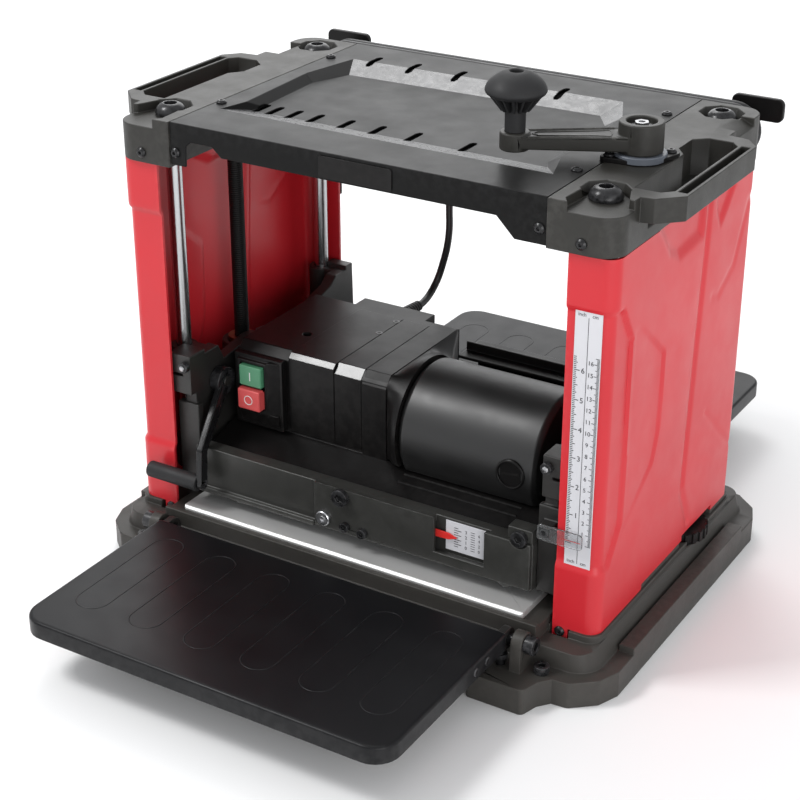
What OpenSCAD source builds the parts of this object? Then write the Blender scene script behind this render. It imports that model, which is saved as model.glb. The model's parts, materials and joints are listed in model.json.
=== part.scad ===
// Bench thickness planer: cast base with folding tables, a four-column frame with a tray
// top, and a cutter carriage that a hand crank raises on two lead screws.
// Origin: bottom centre of the base. X across the bed, Y in the feed direction, Z up.

/* [Frame] */
// height of the tray top above the floor
frame_h = 415; // [380:1:450]
// half of the frame's depth, front flange to rear flange
frame_half_d = 146; // [130:1:160]
// half width between the inner edges of the side covers
cover_in = 194; // [180:1:210]
// half width over the side covers
cover_out = 234; // [220:1:250]
// height of the bottom edge of the side covers
cover_z0 = 46; // [40:1:60]
// height of the top edge of the side covers
cover_z1 = 374; // [340:1:400]

/* [Base and bed] */
// half width of the base over its feet
base_half_w = 258; // [240:1:280]
// distance from the centre to the front of the feet
foot_y = 211; // [190:1:230]
// thickness of the feet
foot_h = 24; // [18:1:30]
// height of the bed surface that the board slides on
bed_z = 58; // [50:1:70]
// half width of the steel bed plate
bed_half_w = 174; // [160:1:185]
// radius of the bolt-down holes in the feet
bolt_down_r = 4.25; // [3.5:0.25:6]

/* [Tables] */
// half width of the folding tables
table_half_w = 177; // [160:1:180]
// length of each folding table
table_len = 187; // [150:1:220]
// depth of a table's skirt
table_t = 16; // [12:1:22]

/* [Columns and lift] */
// distance of the guide columns from the centre line
col_x = 205; // [196:1:212]
// distance of the front columns ahead of the centre
col_front = 105; // [95:1:115]
// distance of the rear columns behind the centre
col_rear = 120; // [110:1:130]
// radius of the guide columns
col_r = 7; // [6:0.5:10]
// distance of the lead screws from the centre line
screw_x = 197; // [190:1:205]
// place of the lead screws along the feed direction
screw_y = -28; // [-60:1:20]
// radius of the lead screws
screw_r = 7; // [6:0.5:9]

/* [Carriage] */
// gap between the bed and the knives as drawn
opening = 4; // [3:0.5:20]
// radius of the cutting circle
cut_r = 24; // [20:0.5:30]
// half length of the cutter head
cut_half = 165; // [150:1:170]
// radius of the feed rollers
roller_r = 12; // [10:0.5:16]
// radius of the motor can
can_r = 56; // [40:1:60]

/* [Crank] */
// distance from the crank's hub to its knob
crank_len = 98; // [80:1:120]
// direction of the crank arm, measured from the X axis
crank_az = 208.7; // [180:0.1:360]

/* [Hidden] */
run = 0.05;                        // radial clearance of a running fit
skin = 3;                          // wall of the side covers
sheet = 2;                         // thickness of pressed steel sheet
knife_z = bed_z + opening;         // lowest point of the cutting circle
cut_y = 8;                         // cutter head axis
cut_z = knife_z + cut_r;
roller_z = knife_z - 1 + roller_r; // the rollers reach 1 mm below the knives
roller_front = -60;
roller_rear = 66;
side_in = 176;                     // inner face of the carriage end castings
side_out = 188;
low_z = 66;                        // lowest edge of the carriage castings
beam_y0 = -138;
beam_y1 = -124;
beam_z0 = 68;
beam_z1 = 112;
plate_y = beam_y0 - 4;             // front of the gauge plate
motor_y = -40;
motor_z = 146;
can_x0 = 14;
can_x1 = 150;
box_x0 = -163;                     // motor housing
box_end = -4;                      // its flat sides end here, then a shoulder meets the can
box_x1 = 14;
box_y0 = -80;
box_y1 = 47;
box_z0 = 114;
box_z1 = 195;
switch_x0 = -162;
switch_x1 = -110;
switch_y = -92;
button_w = 24;
button_x = -140;
green_z = 170;
red_z = 148;
lever_y = -96;
lever_z = 160;
grip_y = -155;
grip_z = 84;
belt_x0 = -174.5;
belt_w = 7;
pulley_cut_r = 14;
pulley_motor_r = 10;
pivot_y = 180;                     // folding axis of each table
pivot_z = 47;
table_y0 = 188.6;
ear_x0 = 180;
ear_x1 = 190;
chain_z = 15;
chain_h = 5;
sprocket_r = 18;
turret_x = 214;
turret_y = 62;
turret_r = 30;
bolt_sunk = 8;                      // floor of the column bolts' pockets, below the top
bar_h = 20;                         // height of the handle bar
flange_screw_az = [40, 220];       // directions of the crank flange's two screws
tab_screw_z = 42;                  // screw through the tab of each side cover
pointer_x = 70;                    // pivot of the cut-depth pointer
pointer_z = 96;
hook_x = 198;                      // cord hooks behind the top castings
hook_z = 386;
hook_r = 18;
cord_d = 7;
hank_y0 = 152;
hank_turns = 3;
gland = [-80, 64, 182];            // where the mains lead leaves the motor housing
plug_p = [-220, 163, 318];         // top of the plug, which hangs behind the left cover

// route of the lead from the strain relief up to the right hook, where the winding starts
lead_route = [
    [-80, 100.5, 182], [-80, 108, 182], [-80, 119, 185], [-79, 128, 192], [-77, 134, 202],
    [-74, 137, 216], [-71, 139, 232], [-70, 141, 250], [-72, 144, 268], [-74, 147.5, 286],
    [-72, 150.5, 304], [-62, 153, 320], [-44, 154.5, 334], [-18, 155.5, 344], [20, 155.5, 351],
    [70, 155.5, 356.5], [130, 155.5, 361.5], [198, 155.5, 364]];
// route of the free end from the last turn down to the plug
tail_route = [
    [-220, 169.5, 386], [-220, 169, 374], [-220, 167, 360], [-220, 165, 346],
    [-220, 163.5, 332], [-220, 163, 318]];

// one point of a Catmull-Rom curve through p0 to p3, between p1 and p2
function spline(p0, p1, p2, p3, t) =
    0.5 * (2 * p1 + (p2 - p0) * t + (2 * p0 - 5 * p1 + 4 * p2 - p3) * t * t
    + (3 * p1 - p0 - 3 * p2 + p3) * t * t * t);
// the route refined to n points a stretch
function refine(r, n) = let (m = len(r) - 1)
    [for (i = [0:m - 1]) for (k = [0:n - 1])
        spline(r[max(i - 1, 0)], r[i], r[i + 1], r[min(i + 2, m)], k / n),
     r[m]];
function unit(v) = v / norm(v);
function tangent(r, i) = unit(r[min(i + 1, len(r) - 1)] - r[max(i - 1, 0)]);
// ring of sides points about r[i]; the frame is built on the X axis, which no route follows at rest
function ring(r, i, rad, sides, ref) = let (
    t = tangent(r, i), u = unit(cross(t, ref)), v = cross(t, u))
    [for (k = [0:sides - 1]) r[i] + rad * (cos(360 * k / sides) * u + sin(360 * k / sides) * v)];

// ---- shared shapes ----

// a box from its low corner to its high corner
module slab(lo, hi) { translate(lo) cube(hi - lo); }

// a cylinder along X from x0 to x1, centred on y, z
module rod_x(x0, x1, y, z, r, fn = 40) {
    translate([x0, y, z]) rotate([0, 90, 0]) cylinder(h = x1 - x0, r = r, $fn = fn);
}

// a cylinder along Y from y0 to y1, centred on x, z
module rod_y(y0, y1, x, z, r, fn = 40) {
    translate([x, y0, z]) rotate([-90, 0, 0]) cylinder(h = y1 - y0, r = r, $fn = fn);
}

module rod_z(z0, z1, x, y, r, fn = 40) {
    translate([x, y, z0]) cylinder(h = z1 - z0, r = r, $fn = fn);
}

// an outline in Y and Z, drawn out along X from x0 to x1
module along_x(x0, x1) {
    translate([x0, 0, 0]) rotate([90, 0, 90]) linear_extrude(x1 - x0) children();
}

// an outline in X and Z, drawn out along Y from y0 to y1
module along_y(y0, y1) {
    translate([0, y1, 0]) rotate([90, 0, 0]) linear_extrude(y1 - y0) children();
}

// a rectangle with round corners
module plate2d(lo, hi, r) {
    translate(lo + [r, r]) offset(r = r, $fn = 32) square(hi - lo - 2 * [r, r]);
}

// repeats the part of the right side on the left side
module both_sides() {
    children();
    mirror([1, 0, 0]) children();
}

// repeats the front half at the rear
module both_ends() {
    children();
    mirror([0, 1, 0]) children();
}

// button-head screw with a hexagon socket, its seat at the origin and its head along +Z
module button_head(r, h, shank_r, shank_l, fn = 24) {
    difference() {
        union() {
            cylinder(h = h * 0.45, r = r, $fn = fn);
            translate([0, 0, h * 0.45]) cylinder(h = h * 0.55, r1 = r, r2 = r * 0.62, $fn = fn);
        }
        translate([0, 0, h * 0.4]) cylinder(h = h, r = r * 0.36, $fn = 6);
    }
    translate([0, 0, -shank_l]) cylinder(h = shank_l + 0.01, r = shank_r, $fn = fn);
}

// socket cap screw, its seat at the origin and its head along +Z
module cap_head(r, h, shank_r, shank_l, fn = 24) {
    difference() {
        cylinder(h = h, r = r, $fn = fn);
        translate([0, 0, h * 0.5]) cylinder(h = h, r = r * 0.5, $fn = 6);
    }
    translate([0, 0, -shank_l]) cylinder(h = shank_l + 0.01, r = shank_r, $fn = fn);
}

// a round tube along a route, as one closed mesh
module tube(route, rad, sides, ref) {
    n = len(route);
    pts = [for (i = [0:n - 1]) each ring(route, i, rad, sides, ref)];
    faces = concat(
        [[for (k = [0:sides - 1]) k]],
        [for (i = [0:n - 2]) for (k = [0:sides - 1]) let (j = (k + 1) % sides)
            [i * sides + k, (i + 1) * sides + k, (i + 1) * sides + j, i * sides + j]],
        [[for (k = [sides - 1:-1:0]) (n - 1) * sides + k]]);
    polyhedron(points = pts, faces = faces, convexity = 8);
}

// places of the four guide columns
col_places = [for (sx = [-1, 1]) for (y = [-col_front, col_rear]) [sx * col_x, y]];

// ---- fixed frame ----

// outline of the foot plate, one quarter
module foot_quarter() {
    polygon([[0, 0], [0, -165], [150, -165], [150, -foot_y], [203, -foot_y], [208, -194],
        [216, -184], [230, -183], [250, -166], [base_half_w, -146], [base_half_w, 0]]);
}

module foot_outline() {
    offset(r = 5, $fn = 32) offset(delta = -5)
        both_ends() both_sides() foot_quarter();
}

// ear that a table's pivot bolt runs in
module ear() {
    along_x(ear_x0, ear_x1) hull() {
        translate([-pivot_y, pivot_z]) circle(r = 10, $fn = 32);
        translate([-pivot_y - 11, foot_h - 1]) square([24, 1]);
    }
}

module base_body() difference() {
    union() {
        linear_extrude(foot_h) foot_outline();
        // raised rim along each side
        both_sides() slab([244, -118, foot_h - 1], [base_half_w, 118, 30]);
        // ledge with a broad fillet under the covers
        hull() {
            linear_extrude(foot_h) plate2d([-243, -168], [243, 168], 22);
            linear_extrude(40) plate2d([-237, -166], [237, 166], 16);
        }
        // seat of each cover
        both_sides() linear_extrude(cover_z0) plate2d([186, -145], [236, 145], 12);
        // bed frame with a lip at each end
        slab([-190, -164.6, 30], [190, 164.6, 52]);
        both_ends() slab([-190, -164.6, 50], [190, -158.6, 55]);
        both_ends() both_sides() ear();
    }
    // hollow underside
    difference() {
        union() {
            slab([-226, -150, -1], [226, 150, 33]);
            slab([-182, -150, -1], [182, 150, 44]);
        }
        for (c = col_places) rod_z(-1, 34, c[0], c[1], col_r + 7);
        both_ends() slab([-227, -92, 24], [227, -86, 45]);
    }
    for (c = col_places) rod_z(16, 60, c[0], c[1], col_r + run);
    both_sides() rod_z(30, 60, screw_x, screw_y, screw_r + run);
    // bolt-down holes
    both_ends() both_sides() rod_z(-1, foot_h + 1, 160, -200, bolt_down_r);
    // screws that hold the covers, the pivot bolts, the foot bolts and the level stops
    both_sides() slab([192, -146, 36], [210, -138.9, 47]);
    both_ends() both_sides() rod_x(ear_x0 - 1, ear_x1 + 1, -pivot_y, pivot_z, 5);
    both_ends() both_sides() rod_z(8, foot_h + 1, 204, -179, 4);
    both_ends() both_sides() rod_z(8, foot_h + 1, 169, -184, 4);
    both_sides() rod_y(-140, -126, 201, tab_screw_z, 2);
    // room for the turret knob
    rod_z(40.01, 60, turret_x, turret_y, turret_r + 1.5, 64);
}

// the base, with the pin that the turret knob turns on
module base_casting() color([0.27, 0.27, 0.26]) {
    base_body();
    rod_z(39, 56, turret_x, turret_y, 5);
}

module bed_plate() color([0.78, 0.79, 0.8]) difference() {
    translate([0, 0, 52]) linear_extrude(bed_z - 52)
        plate2d([-bed_half_w, -158], [bed_half_w, 158], 3);
    // chamfered lead-in at each end
    both_ends() translate([0, -158, bed_z]) rotate([45, 0, 0]) cube([400, 3, 3], center = true);
}

module guide_columns() color([0.8, 0.81, 0.82]) for (c = col_places)
    rod_z(18, 398, c[0], c[1], col_r, 48);

// side cover: a channel that is open towards the carriage, with a shallow front panel
module cover(scale_side) difference() {
    union() {
        translate([0, 0, cover_z0]) linear_extrude(cover_z1 - cover_z0) difference() {
            plate2d([cover_in - 30, -142], [cover_out, 139], 12);
            translate([cover_in - 50, -200]) square([50, 400]);
        }
        // tab that the bottom screw goes through
        slab([cover_in, -142, 36.5], [208, -139, cover_z0 + 1]);
    }
    // inside of the channel
    translate([0, 0, cover_z0 - 1]) linear_extrude(cover_z1 - cover_z0 - skin + 1)
        plate2d([cover_in - 20, -137], [cover_out - skin, 134], 8);
    slab([cover_in - 1, -137, cover_z0 + 2], [cover_in + 8, 134, cover_z1 - skin]);
    // shallow front panel that carries the depth scale
    slab([cover_in - 1, -143, 101], [226, -139.5, 331]);
    rod_y(-143, -138, 201, tab_screw_z, 2.1, 16);
    // clearance for the columns and the lead screw
    for (y = [-col_front, col_rear]) rod_z(cover_z1 - 5, cover_z1 + 1, col_x, y, col_r + 1);
    rod_z(cover_z1 - 5, cover_z1 + 1, screw_x, screw_y, screw_r + 2);
    if (scale_side) slab([cover_in + 8, turret_y - 34, cover_z0 - 1],
        [cover_out + 1, turret_y + 34, 54.5]);
}

module cover_right() color([0.82, 0.2, 0.23]) cover(true);
module cover_left() color([0.82, 0.2, 0.23]) mirror([1, 0, 0]) cover(false);

// opening behind the carrying handle
module grip_outline() {
    polygon([[222, -92], [222, 0], [213, 12], [213, 38], [224, 48], [244, 48], [251, 40],
        [251, -84], [243, -92]]);
}

// end casting of the top, with the carrying handle; only the crank's side is open above the screw
module cap(crank_side) difference() {
    union() {
        translate([0, 0, cover_z1 + 1]) linear_extrude(frame_h - cover_z1 - 1) difference() {
            plate2d([140, -frame_half_d], [cover_out + 1, frame_half_d], 20);
            translate([100, -200]) square([76.5, 400]);
        }
        // handle bar
        translate([0, 0, frame_h - bar_h]) linear_extrude(bar_h) difference() {
            polygon([[220, -112], [246, -108], [264, -90], [264, 48], [252, 62], [220, 66]]);
            grip_outline();
        }
    }
    // finger room beside the bar, with a floor over the cover
    translate([0, 0, frame_h - 30]) linear_extrude(31) intersection() {
        grip_outline();
        translate([200, -100]) square([cover_out + 1 - 200, 160]);
    }
    // groove along the top of the bar
    slab([254, -84, frame_h - 12], [261, 42, frame_h + 1]);
    // pockets for the heads of the column bolts; the front one is open towards the corner
    for (y = [-col_front, col_rear])
        translate([col_x, y, frame_h - bolt_sunk]) rotate([0, 0, 22.5])
            cylinder(h = bolt_sunk + 1, r1 = 16, r2 = 20, $fn = 8);
    translate([0, 0, frame_h - bolt_sunk]) linear_extrude(bolt_sunk + 1)
        polygon([[190, -104], [195, -92], [212, -90], [222, -98], [230, -118], [240, -120],
            [240, -150], [196, -150], [188, -138]]);
    // falling corner behind the grip
    translate([cover_out - 15, 78, frame_h]) rotate([0, 24, 0]) slab([0, 0, 0], [30, 40, 12]);
    for (y = [-col_front, col_rear]) {
        rod_z(cover_z1, 398.5, col_x, y, col_r + run);
        rod_z(397, frame_h, col_x, y, 4.1);
    }
    rod_z(cover_z1, crank_side ? frame_h + 1 : frame_h - 4, screw_x, screw_y, screw_r + run);
    // hollow underside, clear of the columns and the lead screw
    difference() {
        slab([181, -139, cover_z1], [229, 139, 381]);
        for (y = [-col_front, col_rear]) rod_z(cover_z1, 382, col_x, y, 14);
        rod_z(cover_z1, 382, screw_x, screw_y, 14);
    }
    // holes for the screws of the front face and of the crank flange
    rod_y(-frame_half_d - 1, -frame_half_d + 6, 206, 384, 2);
    if (crank_side) for (a = flange_screw_az)
        translate([screw_x, screw_y]) rotate([0, 0, a]) rod_z(400, frame_h + 1, 25, 0, 2);
}

module cap_right() color([0.3, 0.3, 0.28]) cap(true);
module cap_left() color([0.3, 0.3, 0.28]) mirror([1, 0, 0]) cap(false);

// outline of the recess in the tray, with a stepped left side
module recess() {
    polygon([[-164, -88], [-148, -70], [-160, 40], [-145, 99], [121, 102], [140, 60],
        [142, -60], [154, -92]]);
}

// lower edge of the front flange: a short tab at the left and a deeper end at the right
module front_flange_outline() {
    polygon([[-side_in, frame_h], [-side_in, 378], [-161, 378], [-161, 400], [-131, 400],
        [-124, 392], [133, 392], [149, 376], [side_in, 376], [side_in, frame_h]]);
}

module top_tray() color([0.2, 0.2, 0.2]) difference() {
    union() {
        translate([0, 0, frame_h - sheet]) linear_extrude(sheet)
            translate([-side_in, -frame_half_d + 2]) square([2 * side_in, 2 * frame_half_d - 2]);
        hull() {
            translate([0, 0, frame_h - 1]) linear_extrude(1) offset(delta = 2) recess();
            translate([0, 0, frame_h - 12]) linear_extrude(1) offset(delta = -7) recess();
        }
        along_y(-frame_half_d + 2, -frame_half_d + 2 + sheet) front_flange_outline();
        along_y(frame_half_d - sheet, frame_half_d)
            translate([-side_in, 385]) square([2 * side_in, frame_h - 385]);
    }
    // the recess itself
    hull() {
        translate([0, 0, frame_h - 0.5]) linear_extrude(1) recess();
        translate([0, 0, frame_h - 10]) linear_extrude(1) offset(delta = -10) recess();
    }
    // rows of slots along the front and rear edges of the recess
    for (x = [-138, -124, -104, -82, -51, -20, 15, 66]) slot(x, -78, -54);
    for (x = [-130, -88, -40, 8, 63]) slot(x, 98, 118);
    // screw holes
    for (p = tray_screws) rod_z(frame_h - 3, frame_h + 1, p[0], p[1], 2, 16);
    for (x = [-171, 170]) rod_y(-frame_half_d, -frame_half_d + 5, x, 389, 2, 16);
    translate([screw_x, screw_y, frame_h - 3]) cylinder(h = 4, r = 29, $fn = 48);
}

module slot(x, y0, y1) {
    rod_z(frame_h - 14, frame_h + 1, x, y0 + 2, 2, 16);
    rod_z(frame_h - 14, frame_h + 1, x, y1 - 2, 2, 16);
    slab([x - 2, y0 + 2, frame_h - 14], [x + 2, y1 - 2, frame_h + 1]);
}

tray_screws = [[-171, -78], [-171, 92], [168, -80], [168, 90]];

module name_plate() color([0.09, 0.09, 0.1])
    along_y(-frame_half_d + 0.8, -frame_half_d + 1.98) plate2d([-27, 394], [41, 412], 2);

module column_bolts() color([0.1, 0.1, 0.1]) for (c = col_places)
    translate([c[0], c[1], frame_h - bolt_sunk]) button_head(12.5, 9, 4, 6, 32);

// pan-head screws of the tray, the covers, the crank flange and the hinge plates
module small_screws() color([0.08, 0.08, 0.08]) {
    for (p = tray_screws) translate([p[0], p[1], frame_h]) button_head(4.5, 2.6, 1.9, 2.5, 16);
    for (x = [-171, 170]) translate([x, -frame_half_d + 2, 389]) rotate([90, 0, 0])
        button_head(4.5, 2.6, 1.9, 3, 16);
    for (x = [-206, 206]) translate([x, -frame_half_d, 384]) rotate([90, 0, 0])
        button_head(4.5, 2.6, 1.9, 5, 16);
    for (x = [-201, 201]) translate([x, -142, tab_screw_z]) rotate([90, 0, 0])
        button_head(4.5, 2.6, 1.9, 10, 16);
    for (a = flange_screw_az)
        translate([screw_x, screw_y, frame_h + 4]) rotate([0, 0, a]) translate([25, 0, 0])
            button_head(4.5, 2.6, 1.9, 12, 16);
}

// diamond-shaped bearing plate with a collar under the crank
module crank_flange() color([0.12, 0.12, 0.12])
    translate([screw_x, screw_y, frame_h]) rotate([0, 0, flange_screw_az[0]]) difference() {
        union() {
            hull() {
                cylinder(h = 4, r = 21, $fn = 32);
                for (x = [-25, 25]) translate([x, 0, 0]) cylinder(h = 4, r = 7, $fn = 32);
            }
            cylinder(h = 6, r = 17, $fn = 40);
        }
        translate([0, 0, -1]) cylinder(h = 8, r = screw_r + run, $fn = 40);
        for (x = [-25, 25]) translate([x, 0, -1]) cylinder(h = 6, r = 2, $fn = 16);
    }

// a hook: a round arm with a raised wing at its end, for winding the lead
module cord_hooks() color([0.07, 0.07, 0.07]) both_sides() {
    rod_y(frame_half_d, 185, hook_x, hook_z, hook_r);
    along_y(frame_half_d, frame_half_d + 4) plate2d([hook_x - 21, hook_z - 10],
        [hook_x + 21, hook_z + 26], 5);
    along_y(184.9, 190) plate2d([hook_x - 10, hook_z + 6], [hook_x + 38, hook_z + 27], 6);
}

module depth_scale() color([0.93, 0.93, 0.94]) slab([201, -140.4, 106], [224, -139.52, 330]);

// shoulder bolt of each table, screwed in from outside the ear
module pivot_bolts() color([0.15, 0.15, 0.15]) both_ends() both_sides()
    translate([ear_x1, -pivot_y, pivot_z]) rotate([0, 90, 0]) cap_head(8, 9, 4.95, 23, 40);

module foot_bolts() color([0.12, 0.12, 0.12]) both_ends() both_sides()
    translate([204, -179, foot_h]) cap_head(6.5, 7, 3.9, 15);

// screws that the table brackets rest on
module level_stops() color([0.2, 0.2, 0.2]) both_ends() both_sides() {
    rod_z(9, 37, 169, -184, 3.9, 24);
    rod_z(30, 34, 169, -184, 6.5, 6);
}

// roller chain that joins the two lead screws under the bed
module sync_chain() color([0.2, 0.2, 0.2])
    translate([0, screw_y, chain_z]) linear_extrude(chain_h) difference() {
        chain_outline(sprocket_r + 5);
        chain_outline(sprocket_r + 0.4);
    }

module chain_outline(r) hull() for (x = [-screw_x, screw_x])
    translate([x, 0]) circle(r = r, $fn = 40);

// ---- mains lead ----

module cord_lead() color([0.05, 0.05, 0.05])
    tube(refine(lead_route, 4), cord_d / 2, 8, [0, 1, 0.15]);

// the wound length, as one closed racetrack about both hooks
module cord_hank() color([0.05, 0.05, 0.05])
    along_y(hank_y0, hank_y0 + hank_turns * cord_d) translate([0, hook_z]) difference() {
        hank_outline(hook_r + 0.3 + cord_d);
        hank_outline(hook_r + 0.3);
    }

module hank_outline(r) hull() for (x = [-hook_x, hook_x])
    translate([x, 0]) circle(r = r, $fn = 48);

module cord_tail() color([0.05, 0.05, 0.05])
    tube(refine(tail_route, 2), cord_d / 2, 8, [1, 0, 0]);

module cord_plug() color([0.06, 0.06, 0.06]) translate(plug_p) {
    translate([0, 0, -16]) cylinder(h = 16, r1 = 9, r2 = 5.5, $fn = 24);
    translate([0, 0, -40]) cylinder(h = 24.01, r1 = 18, r2 = 12, $fn = 32);
    translate([0, 0, -46]) cylinder(h = 6.01, r = 18, $fn = 32);
    for (x = [-9.5, 9.5]) translate([x, 0, -65]) cylinder(h = 19.01, r = 2.4, $fn = 16);
}

// ---- tables ----

// pressed table pan, drawn at the front; its free corners are round
module table() difference() {
    translate([0, 0, bed_z + 0.5 - table_t]) linear_extrude(table_t) table_outline(0);
    translate([0, 0, bed_z - table_t]) linear_extrude(table_t - sheet) table_outline(sheet);
    // six long embossed loops
    for (x = [-140:56:140]) translate([x, 0, bed_z])
        linear_extrude(1) difference() {
            plate2d([-16, -table_y0 - 150], [16, -table_y0 - 22], 14);
            plate2d([-14, -table_y0 - 148], [14, -table_y0 - 24], 12);
        }
}

module table_outline(inset) offset(delta = -inset) hull() {
    for (sx = [-1, 1]) {
        translate([sx * (table_half_w - 22), -table_y0 - table_len + 22]) circle(r = 22, $fn = 40);
        translate([sx * (table_half_w - 4), -table_y0 - 4]) circle(r = 4, $fn = 16);
    }
}

// hinge plate inside each end of a table, with the bore for its pivot bolt and a neck that
// passes under the table's rear skirt
module bracket_pair() both_sides() difference() {
    along_x(167.5, 174.4) hull() {
        translate([-pivot_y, pivot_z]) circle(r = 9.5, $fn = 32);
        translate([-226, 44]) square([10, 11.5]);
    }
    rod_x(160, 180, -pivot_y, pivot_z, 5);
    slab([160, -300, bed_z - sheet], [180, -table_y0, 70]);
    slab([160, -table_y0 - sheet - 2.2, bed_z + 0.3 - table_t], [180, -table_y0 + 0.3, 60]);
}

module infeed_table() color([0.09, 0.09, 0.1]) table();
module infeed_brackets() color([0.16, 0.16, 0.16]) bracket_pair();
module outfeed_table() color([0.09, 0.09, 0.1]) mirror([0, 1, 0]) table();
module outfeed_brackets() color([0.16, 0.16, 0.16]) mirror([0, 1, 0]) bracket_pair();

// ---- crank and lead screws ----

module lead_screw(top) {
    rod_z(36, top, 0, 0, screw_r, 40);
    rod_z(10, 36, 0, 0, 6, 32);
}

module lead_screw_left() color([0.12, 0.12, 0.12])
    translate([-screw_x, screw_y, 0]) lead_screw(410);
module lead_screw_right() color([0.12, 0.12, 0.12])
    translate([screw_x, screw_y, 0]) lead_screw(440);

// twelve-tooth chain wheel, with its bore on the screw's lower journal
module sprocket() difference() {
    union() {
        translate([0, 0, chain_z + 1]) cylinder(h = chain_h - 2, r = sprocket_r, $fn = 48);
        translate([0, 0, 12]) cylinder(h = 12, r = 11, $fn = 32);
    }
    translate([0, 0, 0]) cylinder(h = 40, r = 6, $fn = 32);
}

module sprocket_left() color([0.3, 0.3, 0.3]) translate([-screw_x, screw_y, 0]) sprocket();
module sprocket_right() color([0.3, 0.3, 0.3]) translate([screw_x, screw_y, 0]) sprocket();

// tapered arm with a hub at the screw and a boss at the knob
module crank_arm() color([0.17, 0.17, 0.17])
    translate([screw_x, screw_y, 0]) rotate([0, 0, crank_az]) difference() {
        union() {
            rod_z(421.5, 446, 0, 0, 18, 48);
            hull() {
                rod_z(424, 435, 8, 0, 15, 32);
                rod_z(424, 433, crank_len, 0, 11, 32);
            }
            rod_z(421.5, 436, crank_len, 0, 12, 40);
        }
        rod_z(420, 440.05, 0, 0, screw_r, 40);
        rod_z(440, 447, 0, 0, 12, 40);
        rod_z(430, 437, crank_len, 0, 5 + run, 40);
    }

module crank_bolt() color([0.75, 0.75, 0.76]) translate([screw_x, screw_y, 440.05])
    difference() {
        union() {
            cylinder(h = 1.5, r = 9, $fn = 32);
            cylinder(h = 5, r = 6, $fn = 6);
        }
        translate([0, 0, 3]) cylinder(h = 3, r = 2.6, $fn = 24);
    }

// mushroom knob with a ribbed underside and a hole for its axle screw
module crank_knob() color([0.08, 0.08, 0.08])
    translate([screw_x + crank_len * cos(crank_az), screw_y + crank_len * sin(crank_az), 0])
    difference() {
        union() {
            rod_z(431, 437, 0, 0, 5, 40);
            rod_z(436.3, 464, 0, 0, 8, 32);
            rotate_extrude($fn = 48) polygon([[0, 462], [17, 462], [23, 466], [24.5, 471],
                [23, 476], [17, 481], [8, 484], [0, 484]]);
            for (a = [0:30:330]) rotate([0, 0, a]) slab([7, -0.8, 457], [18, 0.8, 463]);
        }
        rod_z(472, 485, 0, 0, 5, 24);
    }

// ---- carriage ----

// profile of an end casting in Y and Z
module side_profile() {
    polygon([[-128, low_z], [-128, 186], [-118, 192], [-92, 192], [-84, 176], [-40, 182],
        [0, 176], [36, 158], [58, 176], [92, 184], [102, 192], [132, 192], [134, 140],
        [128, low_z]]);
}

// end casting with its split clamps on both columns and its seat for the lift nut
module carriage_side() difference() {
    union() {
        along_x(side_in, side_out) side_profile();
        for (y = [-col_front, col_rear]) {
            rod_z(150, 192, col_x, y, 12.5, 48);
            rod_z(low_z + 4, 100, col_x, y, 12.5, 48);
            slab([side_out - 1, y - 9, 150], [col_x, y + 9, 192]);
            slab([side_out - 1, y - 9, low_z + 4], [col_x, y + 9, 100]);
            // clamp ears
            slab([side_in, y < 0 ? -135 : 120, 158], [200, y < 0 ? -112 : 132, 196]);
        }
        rod_z(138, 170, screw_x, screw_y, 19, 48);
        // front skirt beside the column
        slab([side_in - 4, -131, low_z], [195, -124, 148]);
    }
    for (y = [-col_front, col_rear]) {
        rod_z(60, 200, col_x, y, col_r + run, 48);
        // the split of the clamp
        slab([side_in + 9, y < 0 ? -136 : y + 6, 175], [214, y < 0 ? y - 6 : 137, 177.5]);
    }
    rod_z(130, 180, screw_x, screw_y, 13, 48);
    rod_x(170, 190, cut_y, cut_z, 8 + run);
    for (y = [roller_front, roller_rear]) rod_x(170, 190, y, roller_z, 6 + run);
    rod_y(-136, -116, 181, 186, 3, 24);
}

// boss that the lock lever turns on
module lever_pin() rod_x(-side_in - 1, -164, lever_y, lever_z, 5);

module carriage_left() color([0.2, 0.2, 0.19]) {
    mirror([1, 0, 0]) carriage_side();
    lever_pin();
}

// the right casting also carries the bracket of the scale cursor
module carriage_right() color([0.2, 0.2, 0.19]) {
    carriage_side();
    slab([178, -143, 126], [190, -130, 136]);
}

module lift_nuts() color([0.7, 0.58, 0.3]) both_sides() difference() {
    rod_z(138, 174, screw_x, screw_y, 12.95, 48);
    rod_z(130, 180, screw_x, screw_y, screw_r + run, 40);
}

// front beam with the pocket of the cut-depth gauge
module front_beam() color([0.23, 0.23, 0.22]) difference() {
    union() {
        slab([-side_in + 4.2, beam_y0, beam_z0], [side_in - 4.2, beam_y1, beam_z1]);
        slab([-side_in + 4.2, beam_y0 - 4, beam_z0], [-42, beam_y0 + 1, beam_z0 + 5]);
        slab([148, beam_y0, beam_z1 - 1], [171, beam_y1, 124]);
        // feet of the gauge's feeler bar
        for (x = [-125, 146]) rod_y(beam_y0, beam_y1, x, beam_z0 + 4, 8, 24);
    }
    slab([62, beam_y0 - 1, 78], [130, -134, 106]);
    slab([78, beam_y0 - 1, 78], [130, -134, beam_z1 + 1]);
    rod_y(-135, -127, pointer_x, pointer_z, 1.5 + run, 24);
    for (p = beam_screw_places) rod_y(beam_y0 - 1, beam_y0 + 8, p[0], p[1], p[3], 16);
}

// screws on the beam: x, z, head radius, shank radius
beam_screw_places = [[-12, 106, 8, 3], [-31, 80, 6.5, 3], [-8, 78, 4.5, 2], [10, 77, 4.5, 2],
    [160, 116, 7, 3]];

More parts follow.
